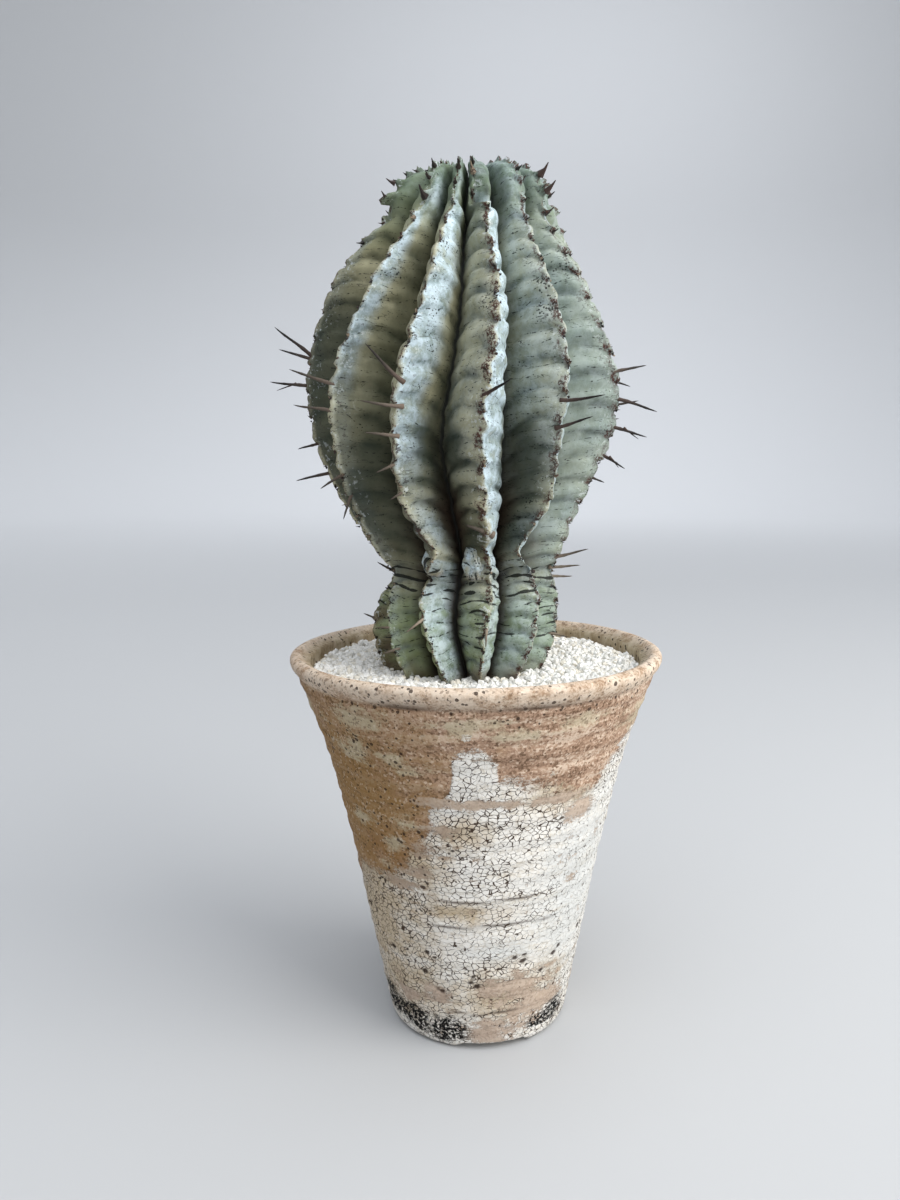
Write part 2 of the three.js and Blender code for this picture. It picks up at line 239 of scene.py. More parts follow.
def give(piece: Piece, slot: Slot, *nodes: str) -> None:
    """Lets a piece ride on the part and stand for solids of the frame.

    Args:
        piece: the finished piece.
        slot: its material slot; not used.
        nodes: the solids that it replaces.
    """
    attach(piece, BODY)
    if nodes:
        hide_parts(*nodes)
    LOG.info("%s: %d faces", piece.name, len(piece.data.polygons))


def mark(piece: Piece, name: str, values: Array) -> None:
    """Stores one number for each vertex under a name that materials read."""
    stored = piece.data.attributes.new(name, "FLOAT", "POINT")
    stored.data.foreach_set("value", np.asarray(values, np.float32))


def rolled_sheet(name: str, place: Array, marks: dict[str, Array] | None = None) -> Piece:
    """Rolls a primitive grid to a closed shape.

    Args:
        name: the piece's name.
        place: where each vertex goes, in millimetres, by row and column, with the last column on the first.
        marks: numbers that materials read, by row and column.

    Returns:
        The piece.
    """
    rows, columns = place.shape[:2]
    bpy.ops.object.select_all(action="DESELECT")
    bpy.ops.mesh.primitive_grid_add(x_subdivisions=columns - 1, y_subdivisions=rows - 1, size=1)
    piece = bpy.context.object
    piece.name = piece.data.name = name
    flat = corners(piece) * MM
    column = np.rint((flat[:, 0] + 0.5) * (columns - 1)).astype(int)
    row = np.rint((flat[:, 1] + 0.5) * (rows - 1)).astype(int)
    move_corners(piece, place[row, column])
    for key, values in (marks or {}).items():
        mark(piece, key, values[row, column])
    bpy.ops.object.mode_set(mode="EDIT")
    bpy.ops.mesh.select_all(action="SELECT")
    bpy.ops.mesh.remove_doubles(threshold=1e-3 * MM)
    bpy.ops.mesh.normals_make_consistent(inside=False)
    bpy.ops.object.mode_set(mode="OBJECT")
    return piece


def corners(piece: Piece) -> Array:
    """Reads the vertices of a piece.

    Args:
        piece: the piece.

    Returns:
        Their places in millimetres, three numbers each.
    """
    flat = np.empty(len(piece.data.vertices) * 3)
    piece.data.vertices.foreach_get("co", flat)
    return flat.reshape(-1, 3) / MM


def move_corners(piece: Piece, places: Array) -> None:
    """Puts the vertices of a piece at places in millimetres."""
    piece.data.vertices.foreach_set("co", (places * MM).ravel())
    piece.data.update()


def joined_copies(name: str, models: list[Piece], placings: list[tuple[int, Matrix, float]]) -> Piece:
    """Copies modelled shapes to many places, as one piece, and removes the models.

    Args:
        name: the piece's name.
        models: the shapes, each at the origin.
        placings: for each copy, which model, where in millimetres, and a number that its material reads.

    Returns:
        The piece.
    """
    shapes = []
    for model in models:
        faces = [tuple(face.vertices) for face in model.data.polygons]
        shapes.append((corners(model), faces))
        bpy.data.objects.remove(model)
    places, faces, shades, start = [], [], [], 0
    for which, matrix, value in placings:
        points, shape_faces = shapes[which]
        turned = np.array(matrix)
        places.append(points @ turned[:3, :3].T + turned[:3, 3])
        faces.extend(tuple(start + k for k in face) for face in shape_faces)
        shades.append(np.full(len(points), value))
        start += len(points)
    mesh = bpy.data.meshes.new(name)
    mesh.from_pydata(np.concatenate(places) * MM, [], faces)
    piece = bpy.data.objects.new(name, mesh)
    bpy.context.collection.objects.link(piece)
    mark(piece, "shade", np.concatenate(shades))
    return piece


def pointing(direction: Vector, spin: float) -> Matrix:
    """A turn that takes +Z to a direction, after a spin about it in radians."""
    turn = Vector((0, 0, 1)).rotation_difference(direction).to_matrix().to_4x4()
    return turn @ Matrix.Rotation(spin, 4, "Z")


def hooked(direction: Vector) -> Matrix:
    """A turn that takes +Z to a direction and +X as near to straight up as it can."""
    side = direction.cross(Vector((0, 0, 1))).normalized()
    return Matrix((side.cross(direction), side, direction)).transposed().to_4x4()


def direction_of(azimuth: float, rise: float) -> Vector:
    """A direction in space.

    Args:
        azimuth: degrees from the front, positive to the right.
        rise: degrees above the level.

    Returns:
        A vector of length 1.
    """
    x, y = outward(azimuth)
    level = math.cos(math.radians(rise))
    return Vector((x * level, y * level, math.sin(math.radians(rise))))


@dataclass(frozen=True)
class StemForm:
    """The stem's form, in millimetres and degrees, from the same sizes as the frame's solid."""

    axis_x: Points = (
        (96, -4.7), (147, -4.7), (165, -3.9), (184, -1.5), (196, -3), (215, -4.8), (265, -3.9), (300, -4),
        (322, -0.7), (332, -0.4), (341, -2))
    axis_y: float = -4
    # Crest radius and height, then valley radius and height, from the root neck up to the crown
    sections: Sequence[tuple[float, float, float, float]] = (
        (6, 97, 6, 97), (11, 112, 11, 112), (17, 128, 16.5, 128), (25, 138, 19, 138), (31.2, 147, 20, 147),
        (34, 153.2, 21.2, 153.2), (36.2, 161.5, 22.5, 161.5), (36.3, 169.8, 23, 169.6),
        (34.8, 178, 22.5, 177), (32.4, 184.1, 21, 182.5), (35.6, 192.2, 20.5, 189),
        (42.2, 204.2, 22.5, 200.5), (49.1, 218.2, 26.5, 214.5), (55.9, 233.9, 31, 230),
        (59.4, 247, 33.8, 243.5), (60.1, 259, 34.8, 256), (57, 274.3, 34, 271.5), (52.3, 287.4, 31.8, 284.5),
        (47.2, 297.5, 29.2, 294.5), (38.9, 309.7, 25, 306), (33.4, 318, 21.6, 314),
        (31.2, 324.4, 19.8, 320.4), (29, 329.6, 17.6, 325.6), (25, 333.2, 14.6, 329.4),
        (18.4, 335, 10.4, 332), (10.5, 335.2, 6.4, 333.4), (4, 333.8, 2.8, 333))
    rib_heights: Sequence[float] = (147, 165, 184, 196, 215, 240, 265, 295, 325)
    # Each rib's azimuth at those heights, and how far over to the next rib its valley lies
    rib_tracks: Sequence[Sequence[float]] = (
        (-80, -86, -98, -96, -92, -90, -88, -78, -62), (-43, -53, -68, -66, -61, -54, -48, -36, -27),
        (-12, -23, -34, -19, -26, -24, -20, -12, -10), (10, 10, 12, 11, 9, 6, 9, 13, 7),
        (37, 44, 47, 31, 40, 35, 36, 35, 33), (72, 80, 84, 76, 82, 80, 68, 58, 51),
        (112, 116, 110, 107, 114, 113, 104, 92, 86), (146, 148, 140, 143, 149, 147, 140, 131, 124),
        (178, 176, 172, 178, 181, 177, 175, 170, 166), (210, 205, 208, 213, 209, 206, 208, 207, 208),
        (243, 237, 235, 238, 236, 237, 240, 246, 252))
    valley_tracks: Sequence[Sequence[float]] = (
        (0.5, 0.45, 0.5, 0.5, 0.45, 0.5, 0.5, 0.5, 0.5), (0.5, 0.5, 0.5, 0.55, 0.55, 0.5, 0.5, 0.52, 0.5),
        (0.68, 0.42, 0.43, 0.38, 0.5, 0.35, 0.45, 0.48, 0.5),
        (0.5, 0.58, 0.45, 0.68, 0.66, 0.66, 0.52, 0.6, 0.55), (0.5, 0.5, 0.5, 0.5, 0.55, 0.5, 0.5, 0.5, 0.5),
        (0.5, 0.55, 0.5, 0.45, 0.5, 0.55, 0.5, 0.5, 0.5), (0.45, 0.5, 0.55, 0.5, 0.45, 0.5, 0.5, 0.5, 0.5),
        (0.5, 0.5, 0.45, 0.55, 0.5, 0.45, 0.5, 0.5, 0.5), (0.55, 0.5, 0.5, 0.45, 0.5, 0.55, 0.5, 0.5, 0.5),
        (0.5, 0.45, 0.5, 0.5, 0.55, 0.5, 0.5, 0.5, 0.5), (0.5, 0.5, 0.5, 0.55, 0.5, 0.5, 0.45, 0.5, 0.5))
    # Where a rib stops and goes on beside its own line: rib, height and how many degrees
    jogs: Sequence[tuple[int, float, float]] = ((3, 317, -6), (8, 319, 4))
    crown_centre: float = 333
    # The neck's lower end, inside the mix
    neck_end: float = 95
    wander: float = 0.6
    wander_from: tuple[float, float] = (150, 160)

    @property
    def ribs(self) -> int:
        """How many ribs the stem has."""
        return len(self.rib_tracks)

    @property
    def lengths(self) -> Array:
        """How far up the crest each section lies."""
        rows = np.array(self.sections)[:, :2]
        return np.concatenate([[0], np.cumsum(np.hypot(*np.diff(rows, axis=0).T))])

    def section(self, s: Array) -> list[Array]:
        """Crest radius and height, then valley radius and height, at lengths up the crest."""
        return [smooth(list(zip(self.lengths, column)), s) for column in np.array(self.sections).T]

    def length_at(self, z: float) -> float:
        """How far up the crest a height is first reached."""
        s = np.arange(0, self.lengths[-1], 0.1)
        return float(s[np.argmax(self.section(s)[1] >= z)])

    def crest_azimuth(self, rib: int, z: Array) -> Array:
        """Where a crest stands round the stem, with a small wander.

        Args:
            rib: the rib's number; ribs past the last one go on round the stem.
            z: heights of the crest.

        Returns:
            The azimuth at each height, in degrees.
        """
        own = rib % self.ribs
        z = np.asarray(z, float)
        wander = np.sin(z / 1.9 + 2.1 * own) + 0.7 * np.sin(z / 0.9 + 1.3 * own)
        wander = self.wander * wander * ease(z, *self.wander_from)
        for which, height, turn in self.jogs:
            wander = wander + (which == own) * turn * ease(z, height - 1, height + 2)
        track = smooth(list(zip(self.rib_heights, self.rib_tracks[own])), z)
        return track + wander + 360 * (rib // self.ribs)

    def at(self, azimuth: Array, radius: Array, z: Array) -> Array:
        """Places from their azimuth and distance about the stem's own axis."""
        x, y = outward(azimuth)
        return np.stack([smooth(self.axis_x, z) + radius * x, self.axis_y + radius * y, z + 0 * radius], -1)

    def crest(self, rib: int, z: float) -> Vector:
        """The point of a rib's crest at a height."""
        s = self.length_at(z)
        return Vector(self.at(self.crest_azimuth(rib, z), self.section(s)[0], z))


@dataclass(frozen=True)
class Tooth:
    """One tooth of a crest: the scar of a leaf, with its tip."""

    rib: int
    length: float
    place: Vector
    azimuth: float


Mark = tuple[int, float, float, float, float, float]


class Grid(NamedTuple):
    """The plain skin by row and column.

    It holds its places, how far each lies from crest to valley (below zero on a rib's left), the nearest rib,
    and the height of each row's crest.
    """

    place: Array
    across: Array
    rib: Array
    crest_z: Array


@dataclass
class Stem:
    """The plant: its skin with ribs, teeth and wrinkles, its knobs, its crown's horns and its leaf scars."""

    form: StemForm = field(default_factory=StemForm)
    # Columns on each half of a rib, and the distance between rows from a height just under the stones
    face_steps: int = 16
    row_step: float = 0.93
    first_fine_height: float = 143
    relief_from: tuple[float, float] = (147, 152)
    tooth_start: float = 149
    last_tooth: float = 6
    # How full the young faces of the crown stand, with only slits between them, and where they fill out
    crown_fullness: float = 0.9
    crown_heights: tuple[float, float] = (298, 324)
    # The heights between which the skin turns from grown to young
    young_heights: tuple[float, float] = (296, 330)
    # The height of the shrunken waist, of its deepest wrinkle and of its widest cracks
    waist: float = 187
    deepest_wrinkle: float = 187.5
    widest_crack: float = 185
    # How far apart the level wrinkles of the waist lie
    wrinkle_step: float = 3.6
    # How many scars stand on a tooth, and up to what height
    scars_on_tooth: int = 6
    scar_limit: float = 324
    # The horned tips: the lowest, where they grow up, where the innermost get small, and the highest base
    horn_from: float = 308
    horn_growth: tuple[float, float] = (306, 326)
    horn_inner: tuple[float, float] = (330, 335)
    horn_limit: float = 335.4
    # The ribs whose youngest teeth are the largest, and how much larger
    bold_ribs: tuple[int, ...] = (0, 1, 5, 8)
    bold_size: float = 1.6
    # The distance between two leaf scars on a crest, by the height of the crest
    tooth_pitch: Points = (
        (150, 6.5), (185, 6.5), (205, 8), (240, 9.8), (280, 9.8), (300, 9), (320, 7.4), (330, 5.4),
        (337, 4.4))
    # Swellings of single crests: rib, height, half width and how far out
    swells: Sequence[tuple[int, float, float, float]] = (
        (3, 203.5, 2.6, 1.6), (3, 198, 2.6, -3.2), (3, 184.5, 2.2, -2.4), (2, 193, 3, 1.6), (2, 186, 2.4, -3),
        (4, 199, 4, -2.2), (4, 190, 3, 0.8), (1, 190, 3, -2), (0, 183, 3, -1.2), (5, 205, 3, -1.2),
        (3, 315, 2.6, 1.6), (0, 317, 2.6, -2.4), (0, 324.5, 2.2, 2), (10, 317.5, 3, -2.2), (1, 331, 2.4, 1.2),
        (5, 316, 2.4, -1.4), (5, 322, 2.2, 1.2), (7, 196, 3, -2.4), (9, 189, 3, -2.6), (8, 200, 3, 1.4),
        (8, 321, 3, -3))
    # Where a crest stops and goes on further in: rib, height, how far in, and over what height it comes back
    recesses: Sequence[tuple[int, float, float, float]] = (
        (3, 317, 7.5, 13), (8, 319, 4, 12), (6, 322, 3, 10))
    # Marks on single faces: rib, place across it, height, half width across, half height and strength. First
    # thick wax, partly a painted highlight, then dark patches, partly painted shade
    wax_and_highlight_spots: Sequence[Mark] = (
        (2, 0.4, 208, 0.35, 11, 0.8), (5, -0.5, 209, 0.5, 17, 0.3), (4, -0.3, 205, 0.4, 9, 0.45),
        (1, 0.5, 322, 0.4, 9, 0.7), (2, 0.4, 326, 0.4, 8, 0.4), (7, -0.4, 210, 0.4, 14, 0.7))
    dark_spots: Sequence[Mark] = (
        (4, -0.55, 231, 0.32, 9, 1), (4, -0.5, 222, 0.35, 9, 0.7), (3, 0.55, 323, 0.14, 2.4, 0.9),
        (2, 0.72, 238, 0.25, 6, 0.9), (3, -0.7, 236, 0.3, 7, 0.9), (1, 0.55, 214, 0.5, 13, 0.9),
        (4, -0.8, 212, 0.25, 11, 0.8), (2, 0.85, 214, 0.25, 14, 1), (3, -0.8, 212, 0.3, 14, 1),
        (3, -0.5, 319, 0.5, 3, 0.9), (3, 0.1, 318.6, 0.2, 1.6, 0.8), (4, -0.85, 322, 0.3, 7, 0.7),
        (2, 0.9, 322, 0.2, 9, 0.8), (1, 0.7, 300, 0.4, 12, 0.7), (0, 0, 262, 1.2, 34, 0.85),
        (5, -0.5, 207, 0.6, 15, 0.2), (3, 0.3, 329, 0.5, 5, 0.35), (4, 0.5, 324, 0.5, 9, 0.35),
        (5, -0.4, 324, 0.5, 9, 0.4), (0, 0.6, 205, 0.4, 12, 0.8), (8, -0.6, 228, 0.3, 9, 0.9),
        (6, 0.6, 222, 0.3, 9, 0.8), (9, 0.5, 235, 0.3, 8, 0.7))
    # Where old, corky skin shows beside the pinched-off rib and behind
    brown_spots: Sequence[Mark] = (
        (2, 0.95, 213, 0.35, 10, 1), (3, -0.95, 212, 0.4, 10, 1), (4, -0.9, 214, 0.25, 9, 0.7),
        (8, 0.9, 212, 0.3, 8, 0.8))
    # Where the flecks of mould crowd
    mould_spots: Sequence[Mark] = (
        (4, -0.3, 283, 0.3, 11, 1), (4, 0.35, 282, 0.3, 9, 1), (4, -0.6, 253, 0.3, 12, 0.7),
        (2, 0.3, 275, 0.3, 8, 0.7), (3, -0.15, 280, 0.15, 16, 1), (2, 0.6, 262, 0.2, 12, 0.6),
        (1, 0.25, 290, 0.3, 14, 0.8), (0, 0.2, 285, 0.4, 18, 0.6), (5, -0.4, 297, 0.4, 9, 1),
        (2, 0.2, 300, 0.2, 8, 0.8), (1, 0.3, 240, 0.3, 10, 0.6), (2, 0.3, 220, 0.3, 8, 0.8),
        (4, -0.5, 207, 0.4, 9, 0.8), (7, 0.3, 280, 0.3, 14, 1), (8, -0.4, 255, 0.3, 14, 0.8),
        (9, 0.3, 290, 0.3, 12, 0.9))
    # How far the old ball has cracked on the left and on the right of each crest
    cracked_left: PerRib = (0.7, 0.5, 0.3, 0.6, 1, 0.6, 0.7, 0.9, 0.6, 0.8, 0.8)
    cracked_right: PerRib = (0.5, 0.3, 0.25, 0.35, 0.7, 0.6, 0.8, 0.6, 0.7, 0.9, 0.7)
    # The knobs left by pinched-off ribs: azimuth, height, distance from the axis, radius, and whether curled
    knobs: Sequence[tuple[float, float, float, float, float]] = (
        (-25, 193, 30.5, 5.0, 1), (5, 192.5, 28.6, 5.9, 0), (146, 188, 29, 5, 1), (236, 189, 30, 4.6, 0))
    # A knob's width, depth and height as shares of its radius
    knob_shape: tuple[float, float, float] = (0.88, 0.8, 1.2)
    # The wax, partly a painted highlight, on the right of each crest, the side the light falls on: how
    # thick, how far over to the valley, and from what height; then that on its left, and that on the old ball
    wax_and_highlight_by_rib: PerRib = (0.2, 0.95, 1, 1, 0.7, 0.7, 0.5, 0.7, 0.6, 0.75, 0.5)
    wax_and_highlight_reach: PerRib = (0.3, 0.38, 0.72, 0.9, 0.8, 0.7, 0.4, 0.6, 0.5, 0.7, 0.4)
    wax_and_highlight_from: PerRib = (266, 260, 232, 190, 192, 185, 215, 230, 205, 225, 240)
    wax_and_highlight_left: PerRib = (0, 0.05, 0.1, 0.2, 0.36, 0.22, 0.3, 0.2, 0.25, 0.15, 0.1)
    old_wax_and_highlight: PerRib = (0.1, 0.12, 0.7, 0.6, 0.8, 0.7, 0.3, 0.4, 0.2, 0.3, 0.2)
    # How rusty each crest is
    rust_by_rib: PerRib = (0.9, 1.1, 1.15, 1.2, 0.9, 0.5, 0.7, 0.6, 0.8, 0.6, 0.8)
    # How blue-green the flesh is on the left and on the right of each crest
    cool_left: PerRib = (0, 0, 0, 0.1, 0.45, 1, 0.6, 0.3, 0.3, 0.2, 0.1)
    cool_right: PerRib = (0, 0.1, 0.15, 0.2, 0.95, 0.8, 0.5, 0.3, 0.3, 0.1, 0.1)
    # How much shade is painted on each rib low on the upper ball, and how dark its mid-face patches are,
    # partly painted shade too
    shade_by_rib: PerRib = (1, 0.6, 0.25, 0.1, 0.1, 0, 0.2, 0.3, 0.2, 0.3, 0.6)
    dark_patch_and_shade_by_rib: PerRib = (0.8, 1, 1.6, 1.7, 1.9, 0.5, 0.8, 1, 0.9, 1.2, 0.8)

    def scars_below(self, rib: Array, s: Array) -> Array:
        """Counts a rib's leaf scars up to a place on its crest, from a start of its own, as on a spiral.

        Args:
            rib: the ribs.
            s: lengths up the crest.

        Returns:
            A number that passes a whole value at each scar.
        """
        steps = np.arange(0, self.form.lengths[-1] + 2, 0.5)
        pitch = smooth(self.tooth_pitch, self.form.section(steps)[1])
        count = np.concatenate([[0], np.cumsum(0.5 / pitch[:-1])])
        return np.interp(s, steps, count) - (np.asarray(rib) * 0.618) % 1

    def tooth_lengths(self, rib: int) -> Array:
        """Finds a rib's teeth.

        Args:
            rib: the rib's number.

        Returns:
            The length up the crest of each one.
        """
        steps = np.arange(self.form.length_at(self.tooth_start), self.form.lengths[-1] - self.last_tooth, 0.1)
        whole = np.floor(self.scars_below(rib, steps))
        return steps[1:][np.diff(whole) > 0]

    def teeth(self) -> list[Tooth]:
        """Finds the teeth of all ribs.

        Returns:
            Every tooth, rib by rib and upwards.
        """
        found = []
        for rib in range(self.form.ribs):
            for s in self.tooth_lengths(rib):
                radius, z = (float(v) for v in self.form.section(s)[:2])
                azimuth = float(self.form.crest_azimuth(rib, z))
                radius += float(self.swelling(rib, np.array(z)))
                found.append(Tooth(rib, float(s), Vector(self.form.at(azimuth, radius, z)), azimuth))
        return found

    def swelling(self, rib: int, z: Array) -> Array:
        """How far a crest stands out of the plain outline: its swellings, less its recesses.

        Args:
            rib: the rib's number.
            z: heights of the crest.

        Returns:
            Millimetres at each height.
        """
        out = np.zeros(np.shape(z))
        for which, height, width, amount in self.swells:
            out = out + (which == rib) * amount * bell(z, height, width)
        for which, height, depth, reach in self.recesses:
            back = 1 - ease(z, height + 1, height + reach)
            out = out - (which == rib) * depth * ease(z, height, height + 1.2) * back
        return out

    def crest_point(self, rib: int, z: float) -> Vector:
        """The point of a rib's crest at a height, swellings included."""
        radius = self.form.section(self.form.length_at(z))[0] + self.swelling(rib, np.array(z))
        return Vector(self.form.at(self.form.crest_azimuth(rib, z), radius, z))

    def plain_skin(self, s: Array, u: Array) -> tuple[Array, Array, Array, Array]:
        """The ribbed form without teeth or wrinkles.

        Args:
            s: lengths up the crest, one for each row.
            u: places round the stem in ribs, one for each column.

        Returns:
            The places, the step from crest (0) to valley (1), the nearest rib, and each row's crest height.
        """
        form = self.form
        crest_r, crest_z, valley_r, valley_z = (v[:, None] for v in form.section(s))
        crests = np.stack([form.crest_azimuth(rib, crest_z[:, 0]) for rib in range(form.ribs + 1)], 1)
        tracks = [list(zip(form.rib_heights, track)) for track in form.valley_tracks]
        shares = np.stack([smooth(track, crest_z[:, 0]) for track in tracks], 1)
        valleys = crests[:, :-1] + shares * np.diff(crests, axis=1)
        left = np.minimum(u.astype(int), form.ribs - 1)
        turn = u - left
        step = 1 - np.abs(1 - 2 * turn)
        rib = np.where(turn < 0.5, left, left + 1)
        azimuth = crests[:, rib] + (valleys[:, left] - crests[:, rib]) * step
        depth = 0.42 * (1 - step) ** 1.25 + 0.58 * (1 - step**1.7)
        depth = depth + self.crown_fullness * ease(crest_z, *self.crown_heights) * (1 - step**5 - depth)
        swell = np.stack([self.swelling(rib, crest_z[:, 0]) for rib in range(form.ribs)], 1)
        radius = valley_r + (crest_r - valley_r) * depth + swell[:, rib % form.ribs] * (1 - step) ** 1.2
        place = form.at(azimuth, radius, valley_z + (crest_z - valley_z) * depth)
        return place, step, rib % form.ribs, crest_z

    def bands(self, place: Array, s: Array, step: Array, rib: Array) -> Array:
        """Counts a rib's swellings, whole at each scar and arched up in the middle of a face."""
        phase = self.scars_below(rib, s[:, None])
        return phase - 0.45 * np.sin(math.pi * step) + 0.12 * lumps(place, 14, 1) * np.minimum(6 * step, 1)

    def relief(self, grid: Grid, s: Array) -> Array:
        """How far the skin stands out of its plain form, along its normal.

        Args:
            grid: the plain skin.
            s: lengths up the crest, one for each row.

        Returns:
            The relief in millimetres.
        """
        place, across, rib, crest_z = grid
        step = np.abs(across)
        share = self.bands(place, s, step, rib) % 1
        youth = ease(crest_z, *self.young_heights)
        grown = ease(s, *(self.form.length_at(height) for height in self.relief_from))[:, None]
        bold = 1 + 1.4 * np.isin(rib, self.bold_ribs) * youth * (1 - ease(crest_z, 325, 332))
        tip = bold * (bell(share, 0, 0.11 + 0.08 * youth) + bell(share, 1, 0.07 + 0.09 * youth))
        scale = (0.75 * bell(share, 0.38, 0.34) - 0.85 * bell(share, 0.88, 0.08)) * (1 - 0.65 * youth)
        on_crest = bell(step, 0, 0.1 + 0.08 * youth)
        vary = np.clip(0.75 + 0.9 * lumps(place, 21, 6), 0.25, 1.3)
        on_face = ease(step, 0.04, 0.22) * (1 - step**3) * vary * np.where(across > 0, 0.9, 1.15)
        waist = bell(crest_z, self.waist, 9) + 0.6 * (crest_z < 182) * ease(crest_z, 150, 156)
        wrinkle = np.sin(self.wrinkle_phase(place, s, rib))
        wrinkles = -1.2 * waist * np.clip(wrinkle - 0.35, 0, 1) * ease(step, 0.03, 0.18) * (1 - step**3)
        wrinkles -= 1.1 * bell(crest_z + 3 * lumps(place, 14, 13), self.deepest_wrinkle, 1.5) * (1 - step**2)
        creases = -0.15 * bell(step, 0.8, 0.04) * (crest_z > 205) - 0.5 * bell(step, 1, 0.06)
        ground = 0.9 * lumps(place, 17, 3) + 0.4 * lumps(place, 5, 4) * (1 - 0.6 * step)
        ground = ground + 0.16 * lumps(place, 2.2, 15)
        ragged = 0.45 * lumps(place, 1.9, 5) * bell(step, 0, 0.14)
        return grown * (on_crest * (scale + (0.7 + 1.7 * youth) * tip) - 0.35 + on_face * 1.1 * scale
                        + wrinkles + creases + ground * (1 - step**4) + ragged)

    def wrinkle_phase(self, place: Array, s: Array, rib: Array) -> Array:
        """Counts the level wrinkles of the shrunken waist up each rib, in radians."""
        return s[:, None] * (2 * math.pi / self.wrinkle_step) + 6 * lumps(place, 13, 2) + rib * 1.7

    def fissures(self, grid: Grid) -> Array:
        """How wide the wrinkles of the waist and of the old ball have cracked open.

        Args:
            grid: the plain skin.

        Returns:
            0 where they are closed, and 1 or more where they gape.
        """
        place, across, rib, crest_z = grid
        step = np.abs(across)
        cracked = np.where(across > 0, np.array(self.cracked_right)[rib], np.array(self.cracked_left)[rib])
        waist = bell(crest_z, self.widest_crack, 6)
        here = np.maximum(2.2 * waist, cracked * ease(crest_z, 154, 166) * (crest_z < 188))
        broken = np.clip(0.25 + 0.35 * waist + 2 * lumps(place, 6, 14) + 1.1 * lumps(place, 2.2, 20), 0, 1)
        return here * broken * ease(step, 0.0, 0.08) * (1 - step**4)

    def brown(self, grid: Grid) -> Array:
        """How brown and corky the oldest skin has grown: at the foot, at the waist and on the left.

        Args:
            grid: the plain skin.

        Returns:
            From 0, green, to 1.
        """
        place, across, rib, crest_z = grid
        foot = 1 - ease(crest_z + 5 * lumps(place, 7, 17), 146, 156)
        side = np.isin(rib, (0, 10)) * (1 - ease(crest_z, 168, 182)) * ease(lumps(place, 9, 18), -0.35, 0.2)
        waist = 0.8 * bell(crest_z, 196, 7) * ease(np.abs(across), 0.25, 0.8)
        waist = waist * ease(lumps(place, 8, 19), -0.4, 0.2)
        spots = self.spots(self.brown_spots, grid)
        return np.clip(np.maximum(np.maximum(foot, side), np.maximum(waist, spots)), 0, 1)

    def spots(self, table: Sequence[Mark], grid: Grid) -> Array:
        """How far inside any of a table's marks a place lies.

        Args:
            table: the marks.
            grid: the plain skin.

        Returns:
            From 0, outside, to the mark's strength.
        """
        _, across, rib, crest_z = grid
        found = np.zeros(np.broadcast(across, crest_z).shape)
        for which, middle, height, half_across, half_height, strength in table:
            mark_here = strength * bell(across, middle, half_across) * bell(crest_z, height, half_height)
            found = np.maximum(found, (rib == which) * mark_here)
        return found

    def wax_and_highlight(self, grid: Grid) -> Array:
        """How thick the pale wax lies, which also paints a highlight: mostly on the right of a crest, the lit
        side.

        Args:
            grid: the plain skin.

        Returns:
            From 0, bare, to about 1.
        """
        place, across, rib, crest_z = grid
        reach = np.array(self.wax_and_highlight_reach)[rib] * (1 + 0.35 * lumps(place, 15, 7))
        right = ease(across, -0.02, 0.06) * (1 - ease(across / reach, 0.55, 1.15))
        right = right * np.array(self.wax_and_highlight_by_rib)[rib]
        low = np.array(self.wax_and_highlight_from)[rib]
        start = 0.25 + 0.75 * ease(crest_z + 6 * lumps(place, 9, 8), low - 14, low + 10)
        top = 1 - 0.72 * ease(crest_z, 312, 327)
        crown = 0.12 * ease(crest_z, 312, 330)
        left = (across < 0.02) * np.array(self.wax_and_highlight_left)[rib] * ease(crest_z, 205, 235)
        both = np.where(across > 0, np.array(self.old_wax_and_highlight)[rib], 1.2 * np.array(self.wax_and_highlight_left)[rib])
        old = (crest_z < 194) * both
        spots = self.spots(self.wax_and_highlight_spots, grid)
        return np.maximum(np.maximum(right * start * top, left + old), np.maximum(crown, spots))

    def dark_patches_and_shade(self, grid: Grid, share: Array) -> Array:
        """Dark patches in the middle of the faces, low on the upper ball, partly painted shade; painted shade
        on some ribs, most on the left, and under the upper ball.

        Args:
            grid: the plain skin.
            share: how far up from one leaf scar to the next each place lies.

        Returns:
            From 0, clean, to 1.
        """
        place, across, rib, crest_z = grid
        # Dark patches low on the upper ball, darkest under each swelling: partly darker skin, partly painted
        # shade
        here = bell(crest_z, 230, 14) * bell(np.abs(across), 0.62, 0.32) * np.array(self.dark_patch_and_shade_by_rib)[rib]
        patch = here * (0.3 + 0.7 * bell(share, 0.8, 0.24))
        patch = patch * np.clip(1 + 1.3 * lumps(place, 13, 10), 0.15, 1.3)
        # Painted shade on the ribs of the shaded side, fading out up the upper ball
        rib_shade = np.array(self.shade_by_rib)[rib] * (1 - ease(crest_z, 262, 306))
        # Painted shade under the upper ball, on the left faces
        under = bell(crest_z, 203, 9) * 0.85 * (across < 0) * (rib != 5)
        spots = self.spots(self.dark_spots, grid)
        return np.clip(patch + spots + rib_shade * (np.abs(across) > 0.1) * (crest_z > 186) + under, 0, 1)

